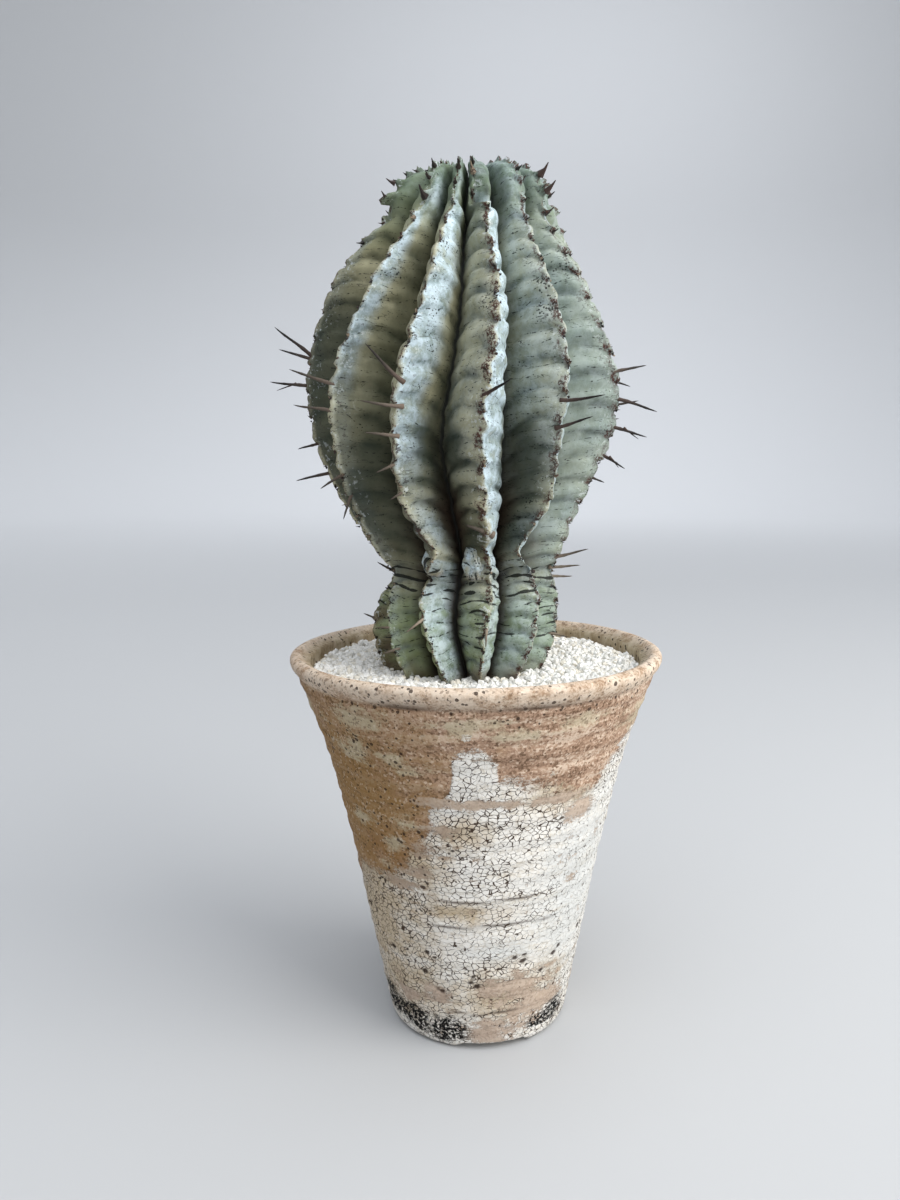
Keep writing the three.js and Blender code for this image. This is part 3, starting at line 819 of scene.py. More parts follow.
    def skin(self) -> Piece:
        """Makes the stem's skin, down to the root neck.

        Returns:
            The piece.
        """
        form = self.form
        fine = np.arange(form.length_at(self.first_fine_height), form.lengths[-1], self.row_step)
        s = np.concatenate([form.lengths[form.lengths < fine[0] - 2], fine])
        u = np.arange(form.ribs * 2 * self.face_steps + 1) / (2 * self.face_steps)
        place, step, rib, crest_z = self.plain_skin(s, u)
        around = np.roll(place[:, :-1], -1, 1) - np.roll(place[:, :-1], 1, 1)
        around = np.concatenate([around, around[:, :1]], 1)
        upward = np.gradient(place, axis=0)
        normal = np.cross(around, upward)
        normal /= np.linalg.norm(normal, axis=2, keepdims=True) + 1e-9
        bands = self.bands(place, s, step, rib)
        across = np.where(u % 1 < 0.5, step, -step)
        grid = Grid(place, across, rib, crest_z)
        out = self.relief(grid, s)
        out[:, -1] = out[:, 0]
        side = np.where(across > 0, np.array(self.cool_right)[rib], np.array(self.cool_left)[rib])
        side = side * (1 - 0.75 * ease(crest_z, 298, 322)) * (0.55 + 0.45 * ease(crest_z, 184, 200))
        marks = {"across": across + 0 * bands, "step": step + 0 * bands, "band": bands, "cool": side,
                 "wax_and_highlight": self.wax_and_highlight(grid), "dark_patch_and_shade": self.dark_patches_and_shade(grid, bands % 1),
                 "rust": np.array(self.rust_by_rib)[rib] + 0 * bands,
                 "wrinkle": self.wrinkle_phase(place, s, rib), "fissure": self.fissures(grid),
                 "brown": self.brown(grid), "mould": self.spots(self.mould_spots, grid)}
        place = place + normal * out[..., None]
        none = np.zeros(len(u))
        ends = [form.at(none, none, z + none) for z in (form.neck_end, form.crown_centre)]
        place = np.concatenate([ends[:1], place, ends[1:]])
        marks = {key: np.pad(values, ((1, 1), (0, 0)), "edge") for key, values in marks.items()}
        return rolled_sheet("stem_skin", place, marks)

    def knob(self, azimuth: float, z: float, distance: float, radius: float, curled: float) -> Piece:
        """Makes one woody knob where a rib was pinched off.

        Args:
            azimuth: where it stands round the stem, in degrees.
            z: its height.
            distance: how far from the stem's axis.
            radius: its radius.
            curled: 1 for a curled scar, 0 for upright folds.

        Returns:
            The knob.
        """
        bpy.ops.object.select_all(action="DESELECT")
        bpy.ops.mesh.primitive_ico_sphere_add(subdivisions=5, radius=radius * MM)
        piece = bpy.context.object
        points = corners(piece)
        turn = np.arctan2(points[:, 0], points[:, 2])
        spiral = turn + 1.5 * np.hypot(points[:, 0], points[:, 2]) + azimuth
        folds = 2.6 * points[:, 0] + 0.7 * points[:, 2] + 4 * lumps(points, 4, 16)
        curl = np.sin(np.where(curled > 0, spiral, folds) + 1.5 * lumps(points, 4, 11))
        groove = np.clip(curl - 0.45, 0, 1) * (0.35 + 0.65 * curled)
        out = 1 + 0.16 * lumps(points, 3.4, radius) - 0.14 * groove + 0.07 * lumps(points, 1.3, 9)
        points = points * out[:, None] * np.array(self.knob_shape)
        turned = np.array(Matrix.Rotation(math.radians(azimuth), 3, "Z"))
        centre = self.form.at(np.array(azimuth), np.array(distance), np.array(z))
        move_corners(piece, points @ turned.T + centre)
        level = np.zeros(len(points))
        # The dark patch mark, and part of the brown mark, paint shade into the knob's grooves
        marks = {"across": 0.05 + 0.5 * groove, "step": 0.05 + 0.5 * groove, "band": 0.3 + 0.5 * groove,
                 "cool": 0.3 + level, "rust": 0.3 + level, "mould": 0.6 * (1 - curled) + level,
                 "wax_and_highlight": 0.6 - 0.2 * curled + 0.8 * lumps(points, 2.5, 12), "dark_patch_and_shade": 0.45 * groove,
                 "wrinkle": math.pi / 2 + (1.6 - 0.4 * curled) * (curl - 1),
                 "fissure": 0.05 + 0.75 * curled + 0.5 * lumps(points, 3, 23),
                 "brown": 0.3 * groove + 0.8 * ease(-points[:, 2], 0.45 * radius, 1.1 * radius)}
        for name, values in marks.items():
            mark(piece, name, values)
        return piece

    def waist_knobs(self) -> Piece:
        """Makes all the knobs.

        Returns:
            The knobs as one piece.
        """
        balls = [self.knob(*row) for row in self.knobs]
        only(*balls)
        bpy.ops.object.join()
        balls[0].name = balls[0].data.name = "waist_knobs"
        return balls[0]

    def tip_model(self, radius: float, length: float, bend: float) -> Piece:
        """Models one brown tooth tip: a cone that curves up to a point.

        Args:
            radius: its foot's radius.
            length: its length.
            bend: how far its point leans over.

        Returns:
            The tip, upright and with its foot at the origin.
        """
        bpy.ops.object.select_all(action="DESELECT")
        bpy.ops.mesh.primitive_cone_add(vertices=6, radius1=radius * MM, radius2=0.12 * radius * MM,
                                        depth=length * MM)
        piece = bpy.context.object
        bpy.ops.object.mode_set(mode="EDIT")
        bpy.ops.mesh.select_all(action="SELECT")
        bpy.ops.mesh.bisect(plane_co=(0, 0, 0), plane_no=(0, 0, 1))
        bpy.ops.object.mode_set(mode="OBJECT")
        points = corners(piece)
        share = points[:, 2] / length + 0.5
        middle = (share > 0.3) & (share < 0.7)
        points[middle, :2] *= 0.72
        points[:, 0] += bend * share**2
        points[:, 2] += length / 2
        move_corners(piece, points)
        return piece

    def horns(self) -> Piece:
        """Makes the hard brown tips of the youngest teeth, round the crown.

        Returns:
            The tips as one piece.
        """
        rng = np.random.default_rng(3)
        models = [self.tip_model(1.2, 3.6, 1.3), self.tip_model(1.0, 3, 1), self.tip_model(1.35, 4, 1.7)]
        placings = []
        for tooth in self.teeth():
            z = tooth.place.z
            if z > self.horn_from:
                youth = float(ease(np.array(z), *self.horn_growth))
                lean = 22 * youth - 20 * float(ease(np.array(z), 331, 335))
                direction = direction_of(tooth.azimuth + rng.normal(0, 9), lean + rng.normal(0, 10) - 12)
                top = float(ease(np.array(z), *self.horn_inner))
                size = (0.4 + 0.4 * youth - 0.4 * top) * rng.uniform(0.7, 1.25)
                bold = tooth.rib in self.bold_ribs and z < self.horn_inner[0]
                size *= self.bold_size if bold else 1
                turn = hooked(direction) @ Matrix.Scale(size, 4)
                base = tooth.place + direction * (2.4 if bold else 1.1) * youth - direction * 0.5
                base.z = min(base.z, self.horn_limit)
                placings.append((int(rng.integers(3)), Matrix.Translation(base) @ turn, rng.random()))
        return joined_copies("crown_horns", models, placings)

    def scars(self) -> Piece:
        """Makes the small woody leaf scars, the brown, saw-like edge of each crest.

        Returns:
            The scars as one piece.
        """
        rng = np.random.default_rng(4)
        models = [self.tip_model(0.7, 1.5, 0.3), self.tip_model(0.9, 1.1, 0.2),
                  self.tip_model(0.55, 2.1, 0.5)]
        placings = []
        for tooth in self.teeth():
            for number in range(self.scars_on_tooth):
                spread, largest = (0.9, 0.9) if number < self.scars_on_tooth / 2 else (3, 0.65)
                z = tooth.place.z + rng.normal(0, spread)
                direction = direction_of(tooth.azimuth + rng.normal(0, 28), rng.normal(8, 20))
                size = rng.uniform(0.45, largest)
                turn = pointing(direction, rng.uniform(0, 2 * math.pi)) @ Matrix.Scale(size, 4)
                base = self.crest_point(tooth.rib, z) - direction * 0.75
                if z < self.scar_limit:
                    placings.append((int(rng.integers(3)), Matrix.Translation(base) @ turn, rng.random()))
        return joined_copies("leaf_scars", models, placings)


@dataclass(frozen=True)
class Stalk:
    """One dry flower stalk: where it grows, how long it is, where it points, and how old it is, up to 1."""

    rib: int
    height: float
    length: float
    azimuth: float
    rise: float
    age: float = 0.3
    forked: bool = False
    girth: float = 1


@dataclass
class Stalks:
    """The dry flower stalks that stay on the plant as spines, from the same list as the frame's solid."""

    form: StemForm = field(default_factory=StemForm)
    seen: Sequence[Stalk] = (
        Stalk(0, 270, 17.8, -92, 38, 0.2), Stalk(0, 269, 12.4, -86, 17, 0.3),
        Stalk(0, 259, 14.8, -92, 3, 0.3, True), Stalk(0, 237, 7.8, -95, -14), Stalk(0, 225.5, 13, -88, -9),
        Stalk(0, 187, 5.5, -80, 25, 0.6), Stalk(0, 168, 5, -78, 20, 0.7), Stalk(1, 257, 15, -62, 14, 0.5),
        Stalk(1, 247.5, 13, -66, 6, 0.5), Stalk(1, 225, 9.5, -60, -25, 0.5),
        Stalk(1, 216, 7.6, -52, -65, 0.6), Stalk(1, 167.5, 5, -60, 3, 0.8), Stalk(1, 159, 5, -62, -12, 0.8),
        Stalk(2, 257, 16, -55, 37, 0.35), Stalk(2, 248, 13.2, -60, 4, 0.55),
        Stalk(2, 238.5, 10.5, -60, 8, 0.6), Stalk(2, 228.5, 7.5, -50, -18, 0.6),
        Stalk(2, 219, 5.5, -48, -28, 0.6), Stalk(2, 172, 9.5, -46, -24, 1), Stalk(3, 251.5, 11.5, 42, 17, 0),
        Stalk(3, 168.5, 6.5, -12, -50, 1), Stalk(4, 249.5, 13.6, 60, 1, 0.2),
        Stalk(4, 241, 11.6, 60, 15, 0.2), Stalk(5, 261.5, 10.5, 88, 9, 0.4),
        Stalk(5, 251.5, 15, 86, -15, 0.2), Stalk(5, 241.5, 13.2, 88, -16, 0.2, True),
        Stalk(5, 231, 9.8, 86, -28, 0.2, True), Stalk(5, 222.5, 4.8, 84, -22),
        Stalk(5, 192.5, 12, 84, 12, 0.6), Stalk(5, 188, 10, 88, 3, 0.8), Stalk(5, 184, 8, 92, -3, 0.9),
        Stalk(5, 161.5, 5.2, 86, -15, 0.8), Stalk(3, 204.5, 8.5, -72, 22, 0.6, False, 1.7))
    back_heights: Sequence[float] = (265, 254, 243, 231, 218, 167)
    back_lengths: Sequence[float] = (11, 14, 13, 10, 6, 5)
    root_radius: float = 0.68
    # How deep a stalk is rooted in its crest
    sink: float = 2.5
    rings: int = 13
    sides: int = 8

    def all(self) -> list[Stalk]:
        """Lists the stalks that the front shows, and those of the back ribs, placed by rule.

        Returns:
            All the stalks.
        """
        rng = np.random.default_rng(11)
        stalks = list(self.seen)
        for rib in range(6, self.form.ribs):
            for height, length in zip(self.back_heights, self.back_lengths):
                z = height + rng.uniform(-4, 4)
                azimuth = float(self.form.crest_azimuth(rib, np.array(z))) + rng.uniform(-20, 20)
                stalks.append(Stalk(rib, z, length * rng.uniform(0.8, 1.2), azimuth, rng.uniform(-18, 22),
                                    rng.uniform(0.2, 0.8), bool(rng.random() < 0.15)))
        return stalks

    def shaft(self, length: float, radius: float, rng: np.random.Generator) -> Array:
        """Lays out one stalk along +Z: rings that taper, with a bend, a swollen foot and two worn joints.

        Args:
            length: the stalk's length.
            radius: its radius at the root.
            rng: the source of its irregularities.

        Returns:
            The places, ring by ring.
        """
        share = np.linspace(0, 1, self.rings)
        joints = 0.18 * bell(share, rng.uniform(0.3, 0.42), 0.05)
        joints = joints + 0.14 * bell(share, rng.uniform(0.62, 0.75), 0.05)
        width = radius * (1.12 - 0.82 * share + joints + 0.35 * bell(share, 0, 0.1))
        width = width * (1 - 0.75 * ease(share, 0.9, 1))
        turn = np.linspace(0, 2 * math.pi, self.sides + 1)
        lean = rng.normal(0, 0.05 * length, 2)
        wave = rng.normal(0, 0.012 * length, 2)
        ring = np.stack([np.cos(turn), np.sin(turn)], 1)
        middle = np.outer(share**2, lean) + np.outer(np.sin(share * 5), wave)
        flat = middle[:, None] + width[:, None, None] * ring
        rise = (share * (length + self.sink) - self.sink)[:, None, None]
        rise = np.broadcast_to(rise, (*flat.shape[:2], 1))
        return np.concatenate([flat, rise], 2)

    def build(self) -> Piece:
        """Makes all the stalks.

        Returns:
            The stalks as one piece.
        """
        rng = np.random.default_rng(12)
        places, ages = [], []
        for stalk in self.all():
            root = self.form.crest(stalk.rib, stalk.height)
            aim = direction_of(stalk.azimuth, stalk.rise)
            girth = self.root_radius * stalk.girth * (0.75 + 0.02 * stalk.length)
            shafts = [(root, aim, stalk.length, girth)]
            if stalk.forked:
                side = aim.cross(Vector((0, 0, 1))).normalized() * rng.choice([-0.5, 0.5])
                side = side + Vector((0, 0, -0.45))
                start = root + aim * stalk.length * 0.45
                shafts.append((start, (aim + side).normalized(), stalk.length * 0.4, self.root_radius * 0.5))
            for start, direction, length, radius in shafts:
                turn = np.array(pointing(direction, 0))[:3, :3]
                points = self.shaft(length, radius, rng) @ turn.T + np.array(start)
                places.append(points)
                ages.append(stalk.age)
        models = []
        for number, points in enumerate(places):
            ends = [np.broadcast_to(points[k].mean(0), points[k].shape) for k in (0, -1)]
            rows = np.concatenate([ends[:1], points, ends[1:]])
            piece = rolled_sheet(f"stalk_{number}", rows)
            reach = np.linalg.norm(corners(piece) - points[0].mean(0), axis=1)
            mark(piece, "reach", reach / reach.max())
            mark(piece, "age", np.full(len(piece.data.vertices), ages[number]))
            models.append(piece)
        only(*models)
        bpy.ops.object.join()
        models[0].name = models[0].data.name = "flower_stalks"
        return models[0]


@dataclass
class Gravel:
    """The white stones round the stem: a rough bed and thousands of loose, angular stones on it."""

    form: StemForm = field(default_factory=StemForm)
    top: float = 147
    bottom: float = 137.35
    wall_radius: float = 66.1
    # The bed's columns round the stem and its rows from the stem to the wall
    columns: int = 181
    rows: int = 26
    # The distance between stones, the share of them that lies on the first layer, and how high
    spacing: float = 1.9
    second_layer: float = 0.4
    second_lift: float = 1.0
    stone_sizes: tuple[float, float] = (0.95, 1.6)
    shapes: int = 9

    def inner_radius(self, stem: Stem, azimuth: Array, z: float) -> Array:
        """How far the stem reaches out from its own axis.

        Args:
            stem: the stem.
            azimuth: degrees from the front.
            z: the height.

        Returns:
            The distance at each azimuth.
        """
        s = np.array([self.form.length_at(z)])
        u = np.arange(self.form.ribs * 32 + 1) / 32
        place = stem.plain_skin(s, u)[0][0]
        centre = self.form.at(np.array(0), np.array(0.0), z)
        flat = place[:, :2] - centre[:2]
        own = np.degrees(np.arctan2(flat[:, 0], -flat[:, 1]))
        order = np.argsort(own)
        reach = np.hypot(*flat.T)[order]
        return np.interp(azimuth, own[order], reach, period=360)

    def heap(self, x: Array, y: Array) -> Array:
        """The bed's height: nearly level, a little higher behind the stem."""
        points = np.stack([x, y, np.zeros_like(x)], -1)
        return self.top + 0.15 + 0.7 * lumps(points, 16, 21) + 0.45 * lumps(points, 5, 22) + 0.012 * y

    def bed(self, stem: Stem) -> Piece:
        """Makes the closed body under the loose stones.

        Args:
            stem: the stem that it surrounds.

        Returns:
            The piece.
        """
        turn = np.linspace(-180, 180, self.columns)
        inner = self.inner_radius(stem, turn, self.top + 1) - 0.6
        rows = []
        centre = self.form.at(np.array(0), np.array(0.0), self.top)
        x, y = outward(turn)
        edge = np.stack([centre[0] + inner * x, centre[1] + inner * y], 1)
        wall = np.stack([self.wall_radius * x, self.wall_radius * y], 1)
        for share in np.linspace(0, 1, self.rows):
            flat = edge + (wall - edge) * share
            rows.append(np.column_stack([flat, self.heap(*flat.T)]))
        rows.append(np.column_stack([wall * 0.94, np.full(len(turn), self.bottom)]))
        rows.append(np.column_stack([edge, np.full(len(turn), self.bottom)]))
        rows.append(rows[0])
        place = np.array(rows)
        place[:, -1] = place[:, 0]
        return rolled_sheet("gravel_bed", place)

    def stone_model(self, seed: int) -> Piece:
        """Models one crushed stone of radius 1: a small ball knocked into flat, sharp-edged faces.

        Args:
            seed: makes each stone another one.

        Returns:
            The stone.
        """
        rng = np.random.default_rng(seed)
        bpy.ops.object.select_all(action="DESELECT")
        bpy.ops.mesh.primitive_ico_sphere_add(subdivisions=1, radius=MM)
        piece = bpy.context.object
        points = corners(piece) * rng.uniform([0.75, 0.7, 0.6], [1.2, 1.1, 0.95])
        points = points * rng.uniform(0.78, 1.2, (len(points), 1)) + rng.normal(0, 0.06, points.shape)
        move_corners(piece, points)
        return piece

    def stones(self, stem: Stem) -> Piece:
        """Makes the loose stones, one close layer and part of a second on top of it.

        Args:
            stem: the stem that they surround.

        Returns:
            The stones as one piece.
        """
        rng = np.random.default_rng(20)
        models = [self.stone_model(seed) for seed in range(self.shapes)]
        step = self.spacing
        cells = np.arange(-self.wall_radius, self.wall_radius, step)
        x, y = np.meshgrid(cells, np.arange(-self.wall_radius, self.wall_radius, step * 0.87))
        x = x + step / 2 * (np.arange(len(x)) % 2)[:, None]
        x, y = (v.ravel() + rng.uniform(-0.3, 0.3, v.size) * step for v in (x, y))
        second = rng.random(x.size) < self.second_layer
        x, y = np.concatenate([x, x[second] + step * 0.4]), np.concatenate([y, y[second] + step * 0.3])
        lift = np.concatenate([np.zeros(second.size), np.full(second.sum(), self.second_lift)])
        centre = self.form.at(np.array(0), np.array(0.0), self.top)
        own = np.degrees(np.arctan2(x - centre[0], -(y - centre[1])))
        clear = np.hypot(x - centre[0], y - centre[1]) > self.inner_radius(stem, own, self.top + 1) + 0.5
        inside = clear & (np.hypot(x, y) < self.wall_radius - 1.1)
        placings = []
        for px, py, pz in zip(x[inside], y[inside], (self.heap(x, y) + lift)[inside]):
            size = rng.uniform(*self.stone_sizes)
            turn = pointing(Vector(rng.normal(size=3)).normalized(), rng.uniform(0, 2 * math.pi))
            matrix = Matrix.Translation((px, py, pz + rng.normal(0, 0.25))) @ turn @ Matrix.Scale(size, 4)
            placings.append((int(rng.integers(len(models))), matrix, rng.random()))
        return joined_copies("loose_stones", models, placings)


@dataclass
class Pot:
    """The thrown pot: finger ridges, a beaded lip, a notched foot and a slip over its lower part."""

    # Radius and height of the wall's outside and of the lip
    outside: Points = (
        (33.6, 0), (36.4, 1.2), (37.6, 4.6), (38.8, 11), (45.5, 45), (49.1, 65), (53.5, 85), (58.1, 105),
        (62.2, 120), (66.5, 132), (72.3, 148))
    lip: Points = (
        (73.9, 150.2), (74.6, 151.8), (74.7, 153), (74.1, 154.1), (73, 154.8), (71.7, 155), (70.4, 154.5),
        (69.6, 153.3))
    wall: float = 5.5
    floor_top: float = 9
    floor_underside: float = 3.5
    foot_inner: float = 24.5
    drain_radius: float = 6
    columns: int = 288
    notches: int = 3
    first_notch: float = 8
    notch_width: float = 32
    notch_narrowing: float = 4
    notch_height: float = 3.2
    # Where the slip ends on the wall: azimuth and height
    slip_edge: Points = (
        (-180, 106), (-160, 100), (-120, 82), (-90, 68), (-66, 68), (-50, 72), (-40, 73), (-33, 78),
        (-28, 88), (-21, 95), (-17, 106), (-12, 109), (-10, 116), (-9, 126), (-4.4, 132.5), (0.4, 131.5),
        (5.2, 125), (6.2, 119), (16, 118), (26, 116.5), (31, 112), (40, 108), (47, 110), (53, 117), (59, 124),
        (68, 128), (75, 125), (90, 119), (120, 122), (160, 112), (180, 106))
    # Where the wall steps out below a ridge: height and depth. Then the groove and the foot of the lip
    ledges: Points = ((68.5, 0.34), (58, 0.26), (17.8, 0.2), (117, 0.2))
    groove: float = 146.2
    lip_from: float = 149
    # Patches on the wall: azimuth, height, half their width in degrees and half their height
    patches: dict[str, Sequence[tuple[float, float, float, float]]] = field(default_factory=lambda: {
        "bare": ((17, 29, 16, 6), (33, 19, 16, 6), (8, 9, 22, 4.5), (-24, 25, 7, 3), (-46, 21, 9, 3),
                 (-4, 109.5, 15, 1.8), (-20, 89, 7, 3), (-26, 79, 6, 2.5), (-15, 98, 7, 2.5), (-34, 72, 7, 2),
                 (27, 109, 7, 3), (40, 102, 7, 3), (110, 16, 30, 8), (-130, 20, 24, 10), (190, 14, 40, 9)),
        "soot": ((-62, 12, 12, 6), (-42, 10, 16, 6), (-20, 9, 14, 5.5), (50, 11, 10, 5), (36, 9, 8, 3),
                 (150, 10, 36, 6), (-140, 12, 25, 6)),
        "burnt": ((-40, 84, 14, 11), (158, 118, 16, 8), (-136, 98, 18, 9)),
        "ochre": ((-58, 104, 44, 48), (150, 120, 40, 16), (-130, 108, 34, 18)),
        "calm": ((50, 62, 26, 46), (14, 46, 20, 5), (110, 60, 24, 30), (-150, 40, 26, 20)),
        "veil": ((-36, 89, 7, 4), (-44, 80, 7, 3), (-29, 99, 8, 3.5), (-52, 96, 9, 4), (-45, 126, 10, 7),
                 (-30, 126, 7, 4), (-22, 121, 10, 4), (-40, 140, 13, 8), (-3, 141, 13, 5), (9, 137, 12, 4),
                 (30, 140, 14, 4), (66, 134, 16, 9), (110, 130, 24, 7), (-110, 122, 30, 7), (180, 124, 34, 8),
                 (-80, 138, 22, 5)),
        "stain": ((-56, 54, 34, 34), (-48, 26, 30, 18), (-26, 84, 14, 14), (-12, 63, 22, 5), (-8, 98, 12, 6),
                  (14, 26, 34, 13), (30, 112, 16, 9), (150, 60, 30, 30), (-140, 50, 24, 24)),
        "iron": ((0, 149, 200, 9), (-45, 126, 34, 22), (-30, 85, 34, 30), (130, 130, 60, 20))})
    # Cracked edges of a throwing ridge, and the lip's groove with painted shade: azimuth, height and half
    # width in degrees
    seams_and_shade_lines: Sequence[tuple[float, float, float]] = (
        (0, 68.5, 32), (6, 57.5, 36), (2, 17.8, 24), (8, 147, 50), (150, 80, 40), (-120, 60, 35),
        (-160, 147, 40))
    # How far such a line swings up and down, and half its width
    seam_swing: float = 0.45
    seam_width: float = 0.45
    # The wall's radius where the bubbles are, and burst bubbles of the slip: azimuth and height
    pit_radius: float = 44
    pits: Points = (
        (-7, 37.7), (-4, 34.6), (-5, 32.2), (-2, 30.4), (6, 39.5), (9, 38), (17, 42.4), (21.5, 40), (24, 38),
        (22, 43), (44, 41.5), (41, 39), (47.5, 36), (-23, 42), (-27, 43.5), (-50, 40), (-39, 42), (-23, 27.5),
        (-20.5, 26.8), (-29.5, 34.5), (11, 11.3), (46, 23.3), (33.5, 33.3), (62, 44), (88, 60), (92, 57),
        (120, 38), (-70, 52), (-100, 40), (-104, 43), (170, 48), (174, 45), (205, 30))

    def outline(self) -> tuple[Array, Array]:
        """Draws the wall's outline from the drain hole round the outside and back.

        Returns:
            The radii and heights, and for each point whether it lies on the wall's outer face.
        """
        by_height = [(z, r) for r, z in self.outside]
        up = np.concatenate([np.linspace(0, 11, 10), np.arange(12, 148, 1.0)])
        outer = np.stack([smooth(by_height, up), up], 1)
        down = np.concatenate([np.arange(152, 134, -1.2), np.arange(131, 13, -9.0)])
        inner = np.stack([smooth(by_height, down) - self.wall, down], 1)
        low = (inner[-1, 0] - 4, self.floor_top)
        under = [(self.drain_radius, self.floor_top), (self.drain_radius, self.floor_underside),
                 (self.foot_inner - 1.5, self.floor_underside), (self.foot_inner - 0.4, 0.4),
                 (self.foot_inner, 0)]
        floor = [low, [20, self.floor_top]]
        points = np.concatenate([under, [[30.5, 0]], outer, self.lip, inner, floor, under[:1]])
        is_outer = np.zeros(len(points), bool)
        is_outer[len(under) + 1:len(under) + 1 + len(outer)] = True
        return points, is_outer

    def relief(self, turn: Array, z: Array) -> Array:
        """How far the outer face stands out: throwing ridges, ledges, pits and the slip's own thickness.

        Args:
            turn: angles round the pot in radians.
            z: heights.

        Returns:
            Millimetres at each place.
        """
        spiral = z + 2.5 * turn / (2 * math.pi)
        points = np.stack([40 * np.cos(turn), 40 * np.sin(turn), z + 0 * turn], -1)
        wander = lumps(points, 30, 31)
        ridges = 0.26 * np.sin(2 * math.pi * spiral / 8.4 + 1.6 * wander)
        ridges = ridges + 0.12 * np.sin(2 * math.pi * spiral / 3.1)
        ridges = ridges * (0.55 + 0.45 * ease(z, 60, 100)) * ease(z, 2, 10)
        ledges = sum(depth * ease(height - z - 0.6 * wander, -0.35, 0.35) * ease(z, height - 6, height)
                     for height, depth in self.ledges)
        groove = -0.32 * bell(z, self.groove, 1.1)
        slip = 0.2 * ease(self.slip_height(turn, z), -2, 2)
        rough = 0.16 * lumps(points, 2.6, 32) + 0.1 * lumps(points, 1.3, 33)
        pits = -0.7 * np.maximum(self.pitting(np.degrees(turn), z), 0)
        return 0.9 * (ridges + ledges + groove + slip + rough) + pits - 0.25

    def pitting(self, azimuth: Array, z: Array) -> Array:
        """How deep a place lies in a burst bubble of the slip.

        Args:
            azimuth: degrees from the front.
            z: heights.

        Returns:
            From 0 to 1.
        """
        deepest = np.zeros(np.broadcast(azimuth, z).shape)
        for number, (where, height) in enumerate(self.pits):
            across = turned_from(azimuth, where) * math.radians(self.pit_radius)
            width = 0.8 + 0.3 * (number % 4)
            deepest = np.maximum(deepest, bell(np.hypot(across, 1.4 * (z - height)), 0, width))
        return deepest

    def seam_and_shade(self, azimuth: Array, z: Array) -> Array:
        """How near a place lies to a dark line: the open crack under a ridge, and the painted shade in the
        groove under the lip.

        Args:
            azimuth: degrees from the front.
            z: heights.

        Returns:
            From 0, far, to 1.
        """
        near = np.zeros(np.broadcast(azimuth, z).shape)
        for where, height, half_width in self.seams_and_shade_lines:
            across = turned_from(azimuth, where) / half_width
            line = height + self.seam_swing * np.sin(4 * across + height)
            near = np.maximum(near, bell(z, line, self.seam_width) * (1 - ease(np.abs(across), 0.6, 1)))
        return near

    def patch(self, name: str, azimuth: Array, z: Array) -> Array:
        """How far inside a kind of patch a place lies.

        Args:
            name: the patches' name.
            azimuth: degrees from the front.
            z: heights.

        Returns:
            1 in a patch's middle, 0 on its edge and -1 far outside.
        """
        found = np.full(np.broadcast(azimuth, z).shape, -1.0)
        for where, height, half_width, half_height in self.patches[name]:
            across = turned_from(azimuth, where) / half_width
            found = np.maximum(found, 1 - np.hypot(across, (z - height) / half_height))
        return found

    def slip_height(self, turn: Array, z: Array) -> Array:
        """How far below the slip's ragged edge a place lies.

        Args:
            turn: angles round the pot in radians.
            z: heights.

        Returns:
            Millimetres, below zero where the clay is bare.
        """
        azimuth = turned_from(np.degrees(turn), 0)
        points = np.stack([50 * np.cos(turn), 50 * np.sin(turn), z + 0 * turn], -1)
        edge = np.interp(azimuth, *zip(*self.slip_edge))
        return edge + 3 * lumps(points, 11, 34) + 1.8 * lumps(points, 4, 38) - z

    def build(self) -> Piece:
        """Makes the pot.

        Returns:
            The piece.
        """
        outline, is_outer = self.outline()
        turn = np.linspace(0, 2 * math.pi, self.columns + 1)
        radius = np.repeat(outline[:, :1], len(turn), 1)
        z = np.repeat(outline[:, 1:], len(turn), 1)
        angle = np.broadcast_to(turn, z.shape)
        lip = (outline[:, 1] > self.lip_from) & ~is_outer
        radius[is_outer] += self.relief(angle[is_outer], z[is_outer])
        wobble = lumps(np.stack([8 * np.cos(angle), 8 * np.sin(angle), 0 * z], -1), 6, 36)
        radius += np.where(z > 100, 0.35 * wobble * (z - 100) / 55, 0)
        grit = lumps(np.stack([radius * np.cos(angle), radius * np.sin(angle), z], -1)[lip], 2.4, 37)
        radius[lip] += 0.14 * grit - 0.1
        z[lip] += 0.25 * wobble[lip] - 0.15
        foot = (outline[:, 1] < self.notch_height) & (outline[:, 0] > self.foot_inner - 1)
        x, y = outward(np.degrees(angle))
        for k in range(self.notches):
            way_x, way_y = outward(np.array(self.first_notch + 360 / self.notches * k))
            across = np.abs((x * way_y - y * way_x) * radius)
            lift = np.clip((self.notch_width / 2 - across) / self.notch_narrowing, 0, 1) * self.notch_height
            ahead = x * way_x + y * way_y > 0
            z[foot] = np.where(ahead[foot], np.maximum(z[foot], lift[foot]), z[foot])
        place = np.stack([radius * x, radius * y, z], -1)
        place[:, -1] = place[:, 0]
        piece = rolled_sheet("thrown_pot", place)
        points = corners(piece)
        distance = np.hypot(points[:, 0], points[:, 1])
        around = np.arctan2(points[:, 0], -points[:, 1])
        azimuth, height = np.degrees(around), points[:, 2]
        by_height = [(z, r) for r, z in self.outside]
        marks = {"slip": self.slip_height(around, height), "pit": self.pitting(azimuth, height),
                 "seam_and_shade": self.seam_and_shade(azimuth, height),
                 "inside": ease(smooth(by_height, height) - distance, 2.4, 3.4)}
        marks.update({name: self.patch(name, azimuth, height) for name in self.patches})
        for name, values in marks.items():
            mark(piece, name, values)
        return piece


